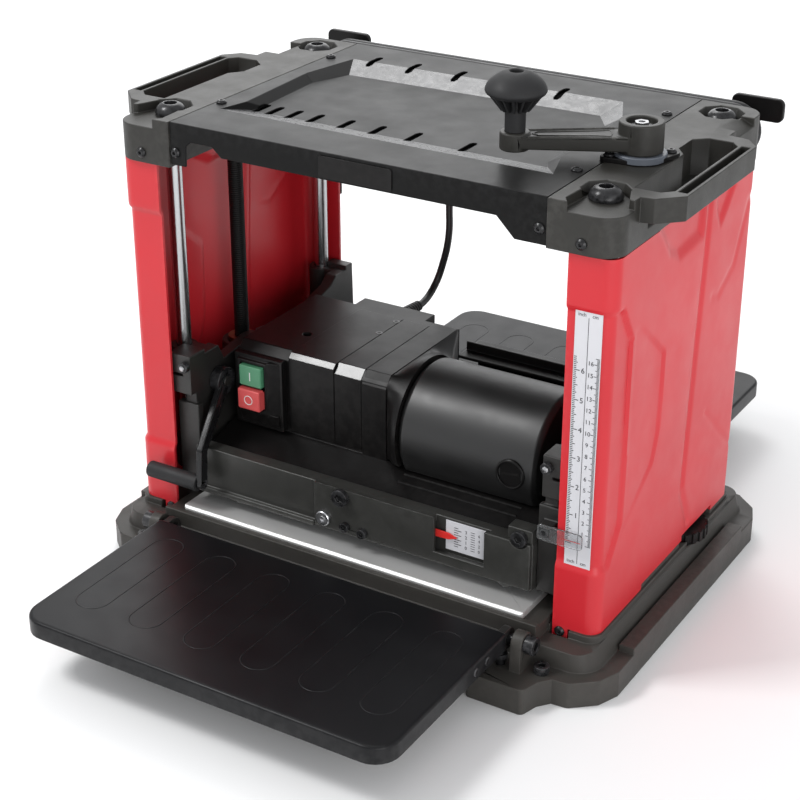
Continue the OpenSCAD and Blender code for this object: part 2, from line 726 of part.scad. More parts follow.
// plate over the right part of the beam, with the window of the gauge
module gauge_plate() color([0.26, 0.26, 0.25]) difference() {
    slab([-41, plate_y, 70], [171, beam_y0, 113]);
    slab([80, plate_y - 1, 80], [128, beam_y0 + 1, 114]);
    for (p = beam_screw_places) rod_y(plate_y - 1, beam_y0 + 1, p[0], p[1], p[3], 16);
    rod_y(plate_y - 1, beam_y0 + 1, 160, 116, 8.5, 24);
}

module carriage_bolts() color([0.1, 0.1, 0.1]) {
    for (i = [0:4]) let (p = beam_screw_places[i], y = i == 4 ? beam_y0 : plate_y)
        translate([p[0], y, p[1]]) rotate([90, 0, 0])
            cap_head(p[2], 5, p[3] - 0.1, i == 4 ? 6 : 10, 24);
    for (x = [-181, 181]) translate([x, -135, 186]) rotate([90, 0, 0])
        cap_head(5, 5, 2.9, 18, 24);
}

module housing_outline(inset) polygon([[box_y0 + inset, 107 + inset], [box_y0 + inset, 187],
    [-72 + inset, box_z1 - inset], [box_y1 - inset, box_z1 - inset],
    [box_y1 - inset, box_z0 + inset], [-66, box_z0 + inset], [-72, 107 + inset]]);

// shoulder from the flat-sided housing to the round can
module can_shoulder() intersection() {
    hull() {
        along_x(box_end - 2, box_end) housing_outline(0.5);
        rod_x(box_x1 - 0.5, box_x1, motor_y, motor_z, can_r + 1, 32);
    }
    slab([box_end - 1, -110, 118], [box_x1 + 1, 60, 215]);
}

// housing of the drive, with the apron towards the front beam
module motor_housing() color([0.1, 0.1, 0.1]) difference() {
    union() {
        along_x(box_x0, box_end) housing_outline(0);
        can_shoulder();
        // block that the lead leaves
        slab([-118, box_y1 - 1, 166], [-40, gland[1], box_z1]);
        // guard over the belt
        along_x(belt_x0 - 1, box_x0 + 1) belt_guard(pulley_cut_r + 6, pulley_motor_r + 7);
        // apron over the infeed roller
        along_x(-170, 171) polygon([[box_y0, 116], [-73, 116], [-73, 111], [-122, 100],
            [-122, 104.5]]);
    }
    // inside of the housing
    along_x(box_x0 + 4, box_end - 4) polygon([[-75, 118.5], [-75, 184], [-69, 191],
        [box_y1 - 4, 191], [box_y1 - 4, 118.5]]);
    rod_x(box_end - 5, box_x1 + 1, motor_y, motor_z, 24);
    rod_x(box_end, box_x1 + 1, motor_y, motor_z, can_r - 6, 48);
    along_x(belt_x0 - 2, box_x0 - 1) belt_guard(pulley_cut_r + 3, pulley_motor_r + 4);
    rod_x(-190, -150, motor_y, motor_z, 6 + run);
    rod_x(-166, -150, cut_y, cut_z, cut_r + 2, 48);
    rod_y(gland[1] - 8, gland[1] + 1, gland[0], gland[2], 6, 32);
    rod_z(188, 200, -117, -36, 4, 24);
    slab([switch_x0 + 3, box_y0 - 1, 122], [switch_x1 - 3, box_y0 + 6, 184]);
}

// outline about both pulleys
module belt_guard(r_cut, r_motor) hull() {
    translate([cut_y, cut_z]) circle(r = r_cut, $fn = 32);
    translate([motor_y, motor_z]) circle(r = r_motor, $fn = 32);
}

// round can with a shoulder at each end and a foot on the apron
module motor_can() color([0.08, 0.08, 0.08]) difference() {
    union() {
        translate([0, motor_y, motor_z]) rotate([0, 90, 0]) rotate_extrude($fn = 64)
            polygon([[6 + run, can_x0], [can_r - 5, can_x0], [can_r, can_x0 + 6],
                [can_r, can_x1 - 4], [can_r - 4, can_x1], [6 + run, can_x1],
                [6 + run, can_x1 - 6], [can_r - 4, can_x1 - 6], [can_r - 4, can_x0 + 5],
                [6 + run, can_x0 + 5]]);
        difference() {
            slab([can_x0 + 2, -72.9, 101], [can_x1 - 8, -60, 118]);
            rod_x(can_x0, can_x1, motor_y, motor_z, can_r - 2, 64);
        }
    }
    for (s = [0, 1]) translate([127, motor_y, motor_z]) mirror([0, s, 0])
        rod_y(can_r - 8, can_r + 1, 0, 0, 9, 32);
    // room for the cutter head under the can, and a flat seat over the apron
    rod_x(can_x0 - 1, can_x1 + 1, cut_y, cut_z, cut_r + 1.5, 48);
    slab([can_x0 - 1, -123, 90], [can_x1 + 1, -72.9, 116.2]);
}

// slotted cap over each motor brush, front and rear
module brush_caps() color([0.06, 0.06, 0.06]) for (s = [0, 1])
    translate([127, motor_y, motor_z]) mirror([0, s, 0]) difference() {
        union() {
            rod_y(can_r + 0.02, can_r + 1.5, 0, 0, 12, 32);
            rod_y(can_r - 7, can_r + 0.1, 0, 0, 8.9, 32);
        }
        slab([-8, can_r + 0.7, -1], [8, can_r + 2, 1]);
    }

// chip hood behind the cutter head, with its mouth at the rear and a shelf behind the can
module chip_hood() color([0.13, 0.13, 0.13]) difference() {
    union() {
        along_x(-172, 172) polygon([[48, 98], [48, 162], [66, 162], [90, 140], [98, 112],
            [98, 98]]);
        slab([box_x1 + 1, 11.5, 184], [174, 51, 187]);
        slab([box_x1 + 1, 26, 186], [174, 29, 195]);
        slab([box_x1 + 1, 48, 160], [174, 51, 187]);
        // rear cross bar
        slab([-side_in + 0.2, 84, 68], [side_in - 0.2, 98, 100]);
    }
    along_x(-169, 169) polygon([[51, 96], [51, 159], [64.8, 159], [87.4, 138.3], [90, 128],
        [90, 96]]);
    slab([-169, 50, 90], [169, 83.9, 101]);
    slab([-140, 80, 104], [140, 100, 134]);
}

// switch body with a pocket for each button
module switch_box() color([0.06, 0.06, 0.06]) difference() {
    union() {
        slab([switch_x0, switch_y + 4, 118], [switch_x1, box_y0 - 0.02, 188]);
        slab([button_x - 16, switch_y, 134], [button_x + 16, switch_y + 5, 184]);
    }
    slab([button_x - button_w / 2 - 0.4, switch_y - 1, green_z - 10.4],
        [button_x + button_w / 2 + 0.4, -81, green_z + 10.4]);
    slab([button_x - button_w / 2 - 0.4, switch_y - 1, red_z - 10.4],
        [button_x + button_w / 2 + 0.4, -81, red_z + 10.4]);
}

module button(z, proud) slab([button_x - button_w / 2, switch_y - proud, z - 10],
    [button_x + button_w / 2, -84.2, z + 10]);
module green_button() color([0.25, 0.55, 0.4]) button(green_z, 3.5);
module red_button() color([0.78, 0.2, 0.2]) button(red_z, 7);

module cursor() color([0.85, 0.86, 0.88, 0.4]) difference() {
    along_y(-145, -143) plate2d([178, 124], [218, 138], 3);
    rod_y(-146, -142, 184, 131, 2, 16);
}

module thickness_label() color([0.92, 0.92, 0.92])
    slab([88, -135, 82], [127, -134.02, 110]);

module cord_gland() color([0.05, 0.05, 0.05]) {
    translate(gland) rotate([-90, 0, 0]) cylinder(h = 36, r1 = 8, r2 = 4.6, $fn = 32);
    translate(gland - [0, 8, 0]) rotate([-90, 0, 0]) cylinder(h = 8.01, r = 6, $fn = 32);
}

// toothed belt from the motor to the cutter head
module drive_belt() color([0.05, 0.05, 0.05])
    along_x(belt_x0 + 1, belt_x0 + belt_w) difference() {
        belt_guard(pulley_cut_r + 2.4, pulley_motor_r + 2.4);
        belt_guard(pulley_cut_r + 0.4, pulley_motor_r + 0.4);
    }

// ---- turning parts ----

module cutterhead() color([0.6, 0.6, 0.62]) difference() {
    union() {
        rod_x(-cut_half, cut_half, cut_y, cut_z, cut_r - 2, 48);
        rod_x(-side_out, side_out, cut_y, cut_z, 8, 40);
        rod_x(belt_x0 + 0.5, belt_x0 + belt_w + 0.5, cut_y, cut_z, pulley_cut_r, 40);
    }
    for (a = [0, 180]) translate([0, cut_y, cut_z]) rotate([a - 90, 0, 0])
        slab([-cut_half - 1, -6, cut_r - 9], [cut_half + 1, 2, cut_r]);
}

// two reversible knives in the slots of the cutter head
module knives() color([0.85, 0.85, 0.87]) for (a = [0, 180])
    translate([0, cut_y, cut_z]) rotate([a - 90, 0, 0]) {
        slab([-cut_half, -1, cut_r - 8.99], [cut_half, 1.99, cut_r]);
        slab([-cut_half, -5.99, cut_r - 8.99], [cut_half, -1.01, cut_r - 4]);
    }

module roller(y) {
    rod_x(-cut_half, cut_half, y, roller_z, roller_r, 40);
    rod_x(-side_out, side_out, y, roller_z, 6, 32);
}
module roller_infeed() color([0.12, 0.12, 0.12]) roller(roller_front);
module roller_outfeed() color([0.12, 0.12, 0.12]) roller(roller_rear);

module armature() color([0.55, 0.4, 0.25]) {
    rod_x(28, 125, motor_y, motor_z, 28, 40);
    rod_x(belt_x0 - 0.5, can_x1 - 1, motor_y, motor_z, 6, 32);
    rod_x(belt_x0 + 0.5, belt_x0 + belt_w + 0.5, motor_y, motor_z, pulley_motor_r, 32);
}

// bent lever that locks the carriage height
module lock_lever() color([0.1, 0.1, 0.1]) difference() {
    union() {
        rod_x(-175.6, -165.5, lever_y, lever_z, 13, 40);
        hull() {
            rod_x(-171, -165.5, lever_y, lever_z, 6, 32);
            rod_x(-160.5, -155, -148, 113, 4.5, 32);
        }
        hull() {
            rod_x(-160.5, -155, -148, 113, 4.5, 32);
            rod_x(-156, -151, grip_y, grip_z, 5, 32);
        }
        rod_x(-209, -151, grip_y, grip_z, 4, 32);
    }
    rod_x(-180, -163.9, lever_y, lever_z, 5 + run);
}

module lever_grip() color([0.14, 0.14, 0.14]) difference() {
    rod_x(-212, -157, grip_y, grip_z, 7.5, 40);
    rod_x(-209.05, -150, grip_y, grip_z, 4, 32);
}

module gauge_pointer() color([0.8, 0.1, 0.08]) {
    along_y(-137.3, -136) polygon([[pointer_x - 4, pointer_z - 4], [pointer_x - 4, pointer_z + 4],
        [92, pointer_z + 3], [100, pointer_z], [92, pointer_z - 3]]);
    rod_y(-136.01, -128, pointer_x, pointer_z, 1.5, 24);
}

// ribbed turret knob with stop posts of graded height
module turret_knob() color([0.2, 0.2, 0.2]) translate([turret_x, turret_y, 0]) difference() {
    union() {
        translate([0, 0, 41]) cylinder(h = 10, r = turret_r - 1.5, $fn = 64);
        for (a = [0:15:345]) rotate([0, 0, a]) slab([turret_r - 4, -2, 41], [turret_r, 2, 51]);
        for (i = [0:5]) rotate([0, 0, 60 * i]) rod_z(50, 53 + i, 12, 0, 3.5, 24);
    }
    rod_z(40, 60, 0, 0, 5 + run);
}

base_casting();
bed_plate();
guide_columns();
cover_left();
cover_right();
cap_left();
cap_right();
top_tray();
name_plate();
column_bolts();
small_screws();
crank_flange();
cord_hooks();
depth_scale();
pivot_bolts();
foot_bolts();
level_stops();
sync_chain();
cord_lead();
cord_hank();
cord_tail();
cord_plug();
carriage_left();
carriage_right();
lift_nuts();
front_beam();
gauge_plate();
carriage_bolts();
motor_housing();
motor_can();
brush_caps();
chip_hood();
switch_box();
cursor();
thickness_label();
cord_gland();
drive_belt();
infeed_table();
infeed_brackets();
outfeed_table();
outfeed_brackets();
crank_arm();
crank_bolt();
crank_knob();
lead_screw_right();
lead_screw_left();
sprocket_right();
sprocket_left();
cutterhead();
knives();
roller_infeed();
roller_outfeed();
armature();
lock_lever();
lever_grip();
green_button();
red_button();
gauge_pointer();
turret_knob();
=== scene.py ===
import json
import math

import bmesh
import bpy
from mathutils import Matrix, Vector


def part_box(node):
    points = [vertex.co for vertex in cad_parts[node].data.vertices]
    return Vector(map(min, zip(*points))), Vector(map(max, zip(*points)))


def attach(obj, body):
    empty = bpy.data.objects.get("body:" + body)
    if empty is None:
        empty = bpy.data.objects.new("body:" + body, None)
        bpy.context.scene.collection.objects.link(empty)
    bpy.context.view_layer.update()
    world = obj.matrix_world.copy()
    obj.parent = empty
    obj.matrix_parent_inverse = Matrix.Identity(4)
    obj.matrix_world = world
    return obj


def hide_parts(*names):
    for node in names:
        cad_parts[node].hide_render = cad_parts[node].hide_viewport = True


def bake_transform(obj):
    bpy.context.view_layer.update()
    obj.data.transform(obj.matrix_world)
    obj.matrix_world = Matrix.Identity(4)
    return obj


# The looks of the bench thickness planer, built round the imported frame. Shapes are worked out
# in millimetres, in the CAD's own frame (X to the right, Y to the rear, Z up), and become metres
# when a mesh is made.
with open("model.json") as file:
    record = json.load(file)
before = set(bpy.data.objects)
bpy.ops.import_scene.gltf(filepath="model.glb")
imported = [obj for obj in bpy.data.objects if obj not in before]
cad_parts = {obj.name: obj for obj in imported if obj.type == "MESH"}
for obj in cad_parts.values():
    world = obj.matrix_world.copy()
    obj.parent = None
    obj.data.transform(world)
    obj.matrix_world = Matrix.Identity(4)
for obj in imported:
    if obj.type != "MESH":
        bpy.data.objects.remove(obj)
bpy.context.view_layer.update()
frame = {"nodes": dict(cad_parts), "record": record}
NODES = frame["nodes"]
BODY_OF = {n: b for b, ns in frame["record"]["behaviour"]["bodies"].items() for n in ns}
SLOT_OF = {s["node"]: s["material_slot"] for s in frame["record"]["subparts"]}
MM = 0.001


def box_mm(node):
    """Lowest and highest corner of a CAD node, in millimetres."""
    lo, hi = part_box(node)
    return lo / MM, hi / MM


# ---- camera, lights and floor ----

def make_camera():
    """A view from above the front right corner."""
    data = bpy.data.cameras.new("camera")
    data.sensor_width = 36.0
    data.lens = 80.74
    data.clip_end = 50
    cam = bpy.data.objects.new("camera", data)
    bpy.context.scene.collection.objects.link(cam)
    cam.location = (0.7364, -1.2709, 0.8623)
    target = Vector((-0.0414, 0.0029, 0.1310))
    cam.rotation_euler = (target - cam.location).to_track_quat("-Z", "Y").to_euler()
    bpy.context.scene.camera = cam


def softbox(name, place, target, size, power, color=(1, 1, 1)):
    """A square area light that faces its target."""
    data = bpy.data.lights.new(name, "AREA")
    data.shape = "SQUARE"
    data.size = size
    data.energy = power
    data.color = color
    lamp = bpy.data.objects.new(name, data)
    bpy.context.scene.collection.objects.link(lamp)
    lamp.location = place
    aim = Vector(target) - Vector(place)
    lamp.rotation_euler = aim.to_track_quat("-Z", "Y").to_euler()


def make_stage():
    """Pale floor, pale surroundings and soft studio light."""
    bpy.ops.mesh.primitive_plane_add(size=14, location=(0, 2, 0))
    floor = bpy.context.object
    floor.name = "floor"
    mat, _, shader = new_material("floor_white")
    shader.inputs["Base Color"].default_value = (0.95, 0.95, 0.95, 1)
    shader.inputs["Roughness"].default_value = 0.9
    shader.inputs["Specular IOR Level"].default_value = 0.1
    floor.data.materials.append(mat)
    world = bpy.data.worlds.new("studio")
    world.use_nodes = True
    sky = world.node_tree.nodes["Background"]
    sky.inputs["Color"].default_value = (0.97, 0.98, 1.0, 1)
    sky.inputs["Strength"].default_value = 0.72
    bpy.context.scene.world = world
    bpy.context.scene.view_settings.view_transform = "Standard"
    middle = (0, 0, 0.2)
    softbox("front_right", (2.0, -1.8, 0.6), middle, 1.3, 20)
    softbox("right", (2.4, -0.3, 1.1), middle, 1.5, 5)
    softbox("key", (-1.15, -1.0, 2.0), middle, 0.6, 26)
    softbox("backdrop", (-1.2, 2.2, 1.5), middle, 2.2, 20)
    softbox("overhead", (-0.9, 1.1, 2.0), middle, 0.9, 12)


# ---- materials ----

def new_material(name):
    """A material with its node tree and its shader."""
    mat = bpy.data.materials.new(name)
    mat.use_nodes = True
    return mat, mat.node_tree, mat.node_tree.nodes["Principled BSDF"]


def noise_of(tree, size, stretch=(1, 1, 1), detail=3.0):
    """A noise pattern in the object's own space; size is its feature in millimetres."""
    coords = tree.nodes.new("ShaderNodeTexCoord")
    mapping = tree.nodes.new("ShaderNodeMapping")
    mapping.inputs["Scale"].default_value = [1 / (size * MM * s) for s in stretch]
    noise = tree.nodes.new("ShaderNodeTexNoise")
    noise.inputs["Scale"].default_value = 1.0
    noise.inputs["Detail"].default_value = detail
    tree.links.new(coords.outputs["Object"], mapping.inputs["Vector"])
    tree.links.new(mapping.outputs["Vector"], noise.inputs["Vector"])
    return noise.outputs["Fac"]


def mapped(tree, value, low, high, to_low, to_high):
    """Maps a value's range low..high to to_low..to_high, held at both ends."""
    node = tree.nodes.new("ShaderNodeMapRange")
    for socket, number in zip(("From Min", "From Max", "To Min", "To Max"),
                              (low, high, to_low, to_high)):
        node.inputs[socket].default_value = number
    tree.links.new(value, node.inputs["Value"])
    return node.outputs["Result"]


def mixed(tree, factor, first, second):
    """Mixes two colours; each is a socket or a tuple."""
    node = tree.nodes.new("ShaderNodeMix")
    node.data_type = "RGBA"
    tree.links.new(factor, node.inputs["Factor"])
    for socket, value in ((node.inputs["A"], first), (node.inputs["B"], second)):
        if isinstance(value, tuple):
            socket.default_value = (*value, 1)
        else:
            tree.links.new(value, socket)
    return node.outputs["Result"]


def surface(name, color, rough, metal=0.0, grain=0.8, bump=0.1, blotch=60, vary=0.12,
            rough_vary=0.07, wear=0.0, wear_color=(0.3, 0.3, 0.3), stretch=(1, 1, 1),
            coat=0.0, specular=0.5):
    """A finish whose colour drifts in soft blotches, whose gloss drifts in smaller ones, with a
    fine grain in relief and lighter worn edges."""
    mat, tree, shader = new_material(name)
    dark = tuple(c * (1 - vary) for c in color)
    light = tuple(min(1, c * (1 + vary)) for c in color)
    tone = mixed(tree, mapped(tree, noise_of(tree, blotch, stretch), 0.35, 0.65, 0, 1), dark, light)
    if wear:
        geometry = tree.nodes.new("ShaderNodeNewGeometry")
        edge = mapped(tree, geometry.outputs["Pointiness"], 0.52, 0.6, 0, 1)
        patch = mapped(tree, noise_of(tree, 6), 0.4, 0.62, 0, wear)
        both = tree.nodes.new("ShaderNodeMath")
        both.operation = "MULTIPLY"
        tree.links.new(edge, both.inputs[0])
        tree.links.new(patch, both.inputs[1])
        tone = mixed(tree, both.outputs["Value"], tone, wear_color)
    tree.links.new(tone, shader.inputs["Base Color"])
    gloss = mapped(tree, noise_of(tree, blotch / 4, stretch, 5), 0.3, 0.7,
                   max(0.02, rough - rough_vary), rough + rough_vary)
    tree.links.new(gloss, shader.inputs["Roughness"])
    relief = tree.nodes.new("ShaderNodeBump")
    relief.inputs["Strength"].default_value = 1.0
    relief.inputs["Distance"].default_value = bump * MM
    tree.links.new(noise_of(tree, grain, stretch, 4), relief.inputs["Height"])
    tree.links.new(relief.outputs["Normal"], shader.inputs["Normal"])
    shader.inputs["Metallic"].default_value = metal
    shader.inputs["Coat Weight"].default_value = coat
    shader.inputs["Specular IOR Level"].default_value = specular
    return mat


def clear_plastic():
    """The scale cursor's acrylic."""
    mat, tree, shader = new_material("clear_acrylic")
    shader.inputs["Base Color"].default_value = (0.93, 0.95, 0.96, 1)
    shader.inputs["Transmission Weight"].default_value = 0.95
    shader.inputs["IOR"].default_value = 1.45
    gloss = mapped(tree, noise_of(tree, 3), 0.3, 0.7, 0.04, 0.1)
    tree.links.new(gloss, shader.inputs["Roughness"])
    return mat


red = surface("red_plastic", (0.57, 0.017, 0.026), 0.36, grain=0.7, bump=0.02, vary=0.03,
              rough_vary=0.05, wear=0.2, wear_color=(0.75, 0.10, 0.10), blotch=110, specular=0.45)
paint = surface("textured_paint", (0.025, 0.024, 0.021), 0.46, grain=1.2, bump=0.09, vary=0.06,
                rough_vary=0.05, wear=0.35, wear_color=(0.13, 0.125, 0.115), blotch=90,
                specular=0.36)
base_paint = surface("base_paint", (0.044, 0.041, 0.037), 0.46, grain=1.3, bump=0.10, vary=0.07,
                     rough_vary=0.05, wear=0.3, wear_color=(0.13, 0.125, 0.11), blotch=90,
                     specular=0.32)
casting = surface("carriage_paint", (0.017, 0.016, 0.015), 0.44, grain=1.2, bump=0.09, vary=0.08,
                  rough_vary=0.05, wear=0.12, wear_color=(0.10, 0.10, 0.095))
beam_paint = surface("beam_paint", (0.038, 0.038, 0.035), 0.36, metal=0.2, grain=1.2, bump=0.09,
                     vary=0.08, rough_vary=0.05, wear=0.1, wear_color=(0.22, 0.22, 0.21))
# Lighter, glossier copy of the tray paint for the recess slopes: the gloss catches the overhead
# lamp, the lighter colour is a painted highlight.
tray_slope_painted_highlight = surface("tray_slope_painted_highlight", (0.060, 0.060, 0.062), 0.30, grain=1.2, bump=0.06, vary=0.25,
                     rough_vary=0.08, wear=0.1, wear_color=(0.2, 0.2, 0.2), blotch=24, specular=0.6)
tray_paint = surface("tray_paint", (0.004, 0.004, 0.004), 0.38, grain=0.8, bump=0.04, vary=0.08,
                     rough_vary=0.05, wear=0.08, wear_color=(0.12, 0.12, 0.12), blotch=120,
                     specular=0.15)
table_paint = surface("table_paint", (0.006, 0.006, 0.007), 0.36, grain=0.7, bump=0.03, vary=0.10,
                      rough_vary=0.05, wear=0.4, wear_color=(0.06, 0.06, 0.06), blotch=120,
                      specular=0.22)
plastic = surface("black_plastic", (0.006, 0.0055, 0.0055), 0.36, grain=0.7, bump=0.03, vary=0.10,
                  rough_vary=0.05, wear=0.1, wear_color=(0.09, 0.085, 0.08), blotch=110,
                  specular=0.20)
# Glossier copy of the black plastic with a lighter colour, for the lid chamfers: the gloss is real,
# the lighter colour is a painted highlight.
painted_highlight_gloss = surface("painted_highlight_gloss_plastic", (0.012, 0.012, 0.012), 0.25, grain=0.7, bump=0.01, vary=0.10,
                 rough_vary=0.02, blotch=90, specular=0.6)
thread_black = surface("thread_black", (0.006, 0.006, 0.006), 0.5, grain=0.8, bump=0.02,
                       specular=0.25)
# Near-black, almost unreflective finish for the plates under the tray slots: painted shade in the
# openings.
slot_painted_shade = surface("slot_painted_shade", (0.0015, 0.0015, 0.0015), 0.8, grain=0.8, bump=0.02, vary=0.2,
                     specular=0.02)
motor_black = surface("motor_black", (0.007, 0.007, 0.007), 0.43, grain=0.6, bump=0.03, vary=0.08,
                      rough_vary=0.04, wear=0.1, wear_color=(0.08, 0.08, 0.08), blotch=100,
                      specular=0.75)
rubber = surface("black_rubber", (0.016, 0.016, 0.017), 0.60, grain=0.5, bump=0.05, vary=0.12,
                 specular=0.35)
cord_rubber = surface("cord_rubber", (0.010, 0.010, 0.011), 0.42, grain=1.5, bump=0.03, vary=0.12)
oxide = surface("black_oxide", (0.012, 0.012, 0.013), 0.28, metal=0.3, grain=0.6, bump=0.02,
                vary=0.10, wear=0.5, wear_color=(0.2, 0.2, 0.21))
zinc = surface("zinc_plate", (0.60, 0.61, 0.63), 0.28, metal=1.0, grain=0.9, bump=0.02, vary=0.12)
chrome = surface("hard_chrome", (0.52, 0.53, 0.54), 0.24, metal=1.0, grain=1.5, bump=0.003,
                 vary=0.04, rough_vary=0.03, stretch=(1, 1, 8), blotch=40)
bed_steel = surface("ground_steel", (0.82, 0.82, 0.81), 0.50, metal=0.75, grain=0.5, bump=0.008,
                    vary=0.05, rough_vary=0.03, stretch=(8, 1, 1), blotch=60)
steel = surface("turned_steel", (0.42, 0.42, 0.43), 0.32, metal=1.0, grain=0.6, bump=0.02)
brass = surface("bronze", (0.28, 0.21, 0.11), 0.34, metal=1.0, grain=0.8, bump=0.02, vary=0.15)
copper = surface("motor_windings", (0.45, 0.20, 0.09), 0.38, metal=0.8, grain=0.8, bump=0.1,
                 stretch=(6, 1, 1))
label_white = surface("label_white", (0.62, 0.62, 0.65), 0.36, grain=2.0, bump=0.004, vary=0.02)
ink = surface("black_ink", (0.02, 0.02, 0.025), 0.5, grain=0.8, bump=0.003, vary=0.1)
ring_grey = surface("collar_grey", (0.105, 0.118, 0.14), 0.40, grain=0.8, bump=0.02, vary=0.08)
pointer_red = surface("pointer_red", (0.72, 0.03, 0.025), 0.35, grain=1.0, bump=0.01, vary=0.06)
green = surface("button_green", (0.075, 0.26, 0.14), 0.40, grain=0.8, bump=0.01, vary=0.05)
button_pink = surface("button_red", (0.66, 0.085, 0.085), 0.40, grain=0.8, bump=0.01, vary=0.05)
white_print = surface("white_print", (0.70, 0.70, 0.68), 0.5, grain=0.8, bump=0.003, vary=0.05)
clear = clear_plastic()


# ---- mesh helpers, in millimetres ----

def piece(name, bm, material, body, slot, stands_for=(), bevel=0.0, segments=2, sharp=35,
          loose=False):
    """Turns a bmesh in millimetres into a piece that rides a body. bevel rounds its edges."""
    bm.transform(Matrix.Scale(MM, 4))
    bmesh.ops.recalc_face_normals(bm, faces=bm.faces)
    mesh = bpy.data.meshes.new(name)
    bm.to_mesh(mesh)
    bm.free()
    obj = bpy.data.objects.new(name, mesh)
    bpy.context.scene.collection.objects.link(obj)
    mesh.materials.append(material)
    mesh.polygons.foreach_set("use_smooth", [True] * len(mesh.polygons))
    if bevel:
        edge = obj.modifiers.new("rounded_edges", "BEVEL")
        edge.width = bevel * MM
        edge.segments = segments
        edge.limit_method = "ANGLE"
        edge.angle_limit = math.radians(30)
        edge.use_clamp_overlap = False
    else:
        mesh.set_sharp_from_angle(angle=math.radians(sharp))
    weighted = obj.modifiers.new("face_normals", "WEIGHTED_NORMAL")
    weighted.keep_sharp = True
    if stands_for:
        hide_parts(*stands_for)
    if not loose:
        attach(obj, body)
    return obj


def part_of(node, name, bm, material, **finish):
    """A piece that stands for a CAD node, or for some of it, on the same body."""
    return piece(name, bm, material, BODY_OF[node], SLOT_OF[node], (node,), **finish)


def refined(node, material, bevel=0.6, segments=2):
    """A copy of a CAD node with its facets merged and its edges rounded, standing for it."""
    return part_of(node, node + "_shell", cad_mesh(node), material, bevel=bevel,
                   segments=segments)


def cad_mesh(node, merged=True):
    """A CAD node's mesh as a bmesh in millimetres; its flat facets are merged if asked."""
    bm = bmesh.new()
    bm.from_mesh(NODES[node].data)
    bm.transform(Matrix.Scale(1 / MM, 4))
    bmesh.ops.remove_doubles(bm, verts=bm.verts, dist=0.002)
    if merged:
        bmesh.ops.dissolve_limit(bm, angle_limit=math.radians(0.5), verts=bm.verts, edges=bm.edges)
    return bm


def add_prism(bm, outline, axis, start, end):
    """Adds an outline drawn out along an axis. The outline's two numbers are the other axes."""
    def place(point, along):
        """A point of the outline at its distance along the axis."""
        a, b = point
        return {"x": (along, a, b), "y": (a, along, b), "z": (a, b, along)}[axis]
    first, last = [[bm.verts.new(place(p, along)) for p in outline] for along in (start, end)]
    bm.faces.new(first)
    bm.faces.new(reversed(last))
    count = len(outline)
    for i in range(count):
        j = (i + 1) % count
        bm.faces.new((first[j], first[i], last[i], last[j]))


def add_box(bm, lo, hi):
    """Adds a box between two corners."""
    outline = [(lo[0], lo[1]), (hi[0], lo[1]), (hi[0], hi[1]), (lo[0], hi[1])]
    add_prism(bm, outline, "z", lo[2], hi[2])


def add_rings(bm, rings, closed=False):
    """Skins a row of rings of points, with a cap at each end unless the row is closed."""
    made = [[bm.verts.new(p) for p in ring] for ring in rings]
    count = len(made[0])
    last = len(made) if closed else len(made) - 1
    for i in range(last):
        a, b = made[i], made[(i + 1) % len(made)]
        for k in range(count):
            n = (k + 1) % count
            bm.faces.new((a[k], a[n], b[n], b[k]))
    if not closed:
        bm.faces.new(reversed(made[0]))
        bm.faces.new(made[-1])


def add_lathe(bm, profile, axis, centre, steps=48):
    """Turns a profile of (radius, place along the axis) about an axis through centre."""
    rings = []
    for radius, along in profile:
        ring = []
        for k in range(steps):
            a = 2 * math.pi * k / steps
            u, v = max(radius, 0.01) * math.cos(a), max(radius, 0.01) * math.sin(a)
            spot = {"x": (along, u, v), "y": (v, along, u), "z": (u, v, along)}[axis]
            ring.append(Vector(spot) + Vector(centre))
        rings.append(ring)
    add_rings(bm, rings)


def add_tube(bm, path, radius, sides=12, closed=False, squash=1.0):
    """Sweeps a round section along a path; squash flattens it along Z."""
    points = [Vector(p) for p in path]
    rings = []
    up = Vector((0, 1, 0.13)).normalized()
    for i, p in enumerate(points):
        ahead = points[(i + 1) % len(points)] if closed or i + 1 < len(points) else p
        behind = points[i - 1] if closed or i else p
        along = (ahead - behind).normalized()
        side = along.cross(up).normalized()
        up = side.cross(along).normalized()
        turns = [2 * math.pi * k / sides for k in range(sides)]
        ring = [radius * (math.cos(a) * side + math.sin(a) * up) for a in turns]
        rings.append([p + Vector((q.x, q.y, q.z * squash)) for q in ring])
    add_rings(bm, rings, closed)


def rounded(lo, hi, radius, steps=6):
    """Outline of a rectangle with round corners."""
    corners = [((hi[0] - radius, hi[1] - radius), 0), ((lo[0] + radius, hi[1] - radius), 90),
               ((lo[0] + radius, lo[1] + radius), 180), ((hi[0] - radius, lo[1] + radius), 270)]
    points = []
    for (x, y), start in corners:
        for k in range(steps + 1):
            a = math.radians(start + 90 * k / steps)
            points.append((x + radius * math.cos(a), y + radius * math.sin(a)))
    return points


def spline(points, steps):
    """Points of a smooth curve through the given ones, with some steps a stretch."""
    rows = [Vector(p) for p in points]
    out = []
    for i in range(len(rows) - 1):
        p0, p1, p2 = rows[max(i - 1, 0)], rows[i], rows[i + 1]
        p3 = rows[min(i + 2, len(rows) - 1)]
        for k in range(steps):
            t = k / steps
            out.append(0.5 * (2 * p1 + (p2 - p0) * t + (2 * p0 - 5 * p1 + 4 * p2 - p3) * t * t
                              + (3 * p1 - p0 - 3 * p2 + p3) * t ** 3))
    out.append(rows[-1])
    return out


def smooth(t):
    """Smooth step from 0 at t = 0 to 1 at t = 1."""
    t = max(0.0, min(1.0, t))
    return t * t * (3 - 2 * t)


# ---- the mains lead ----

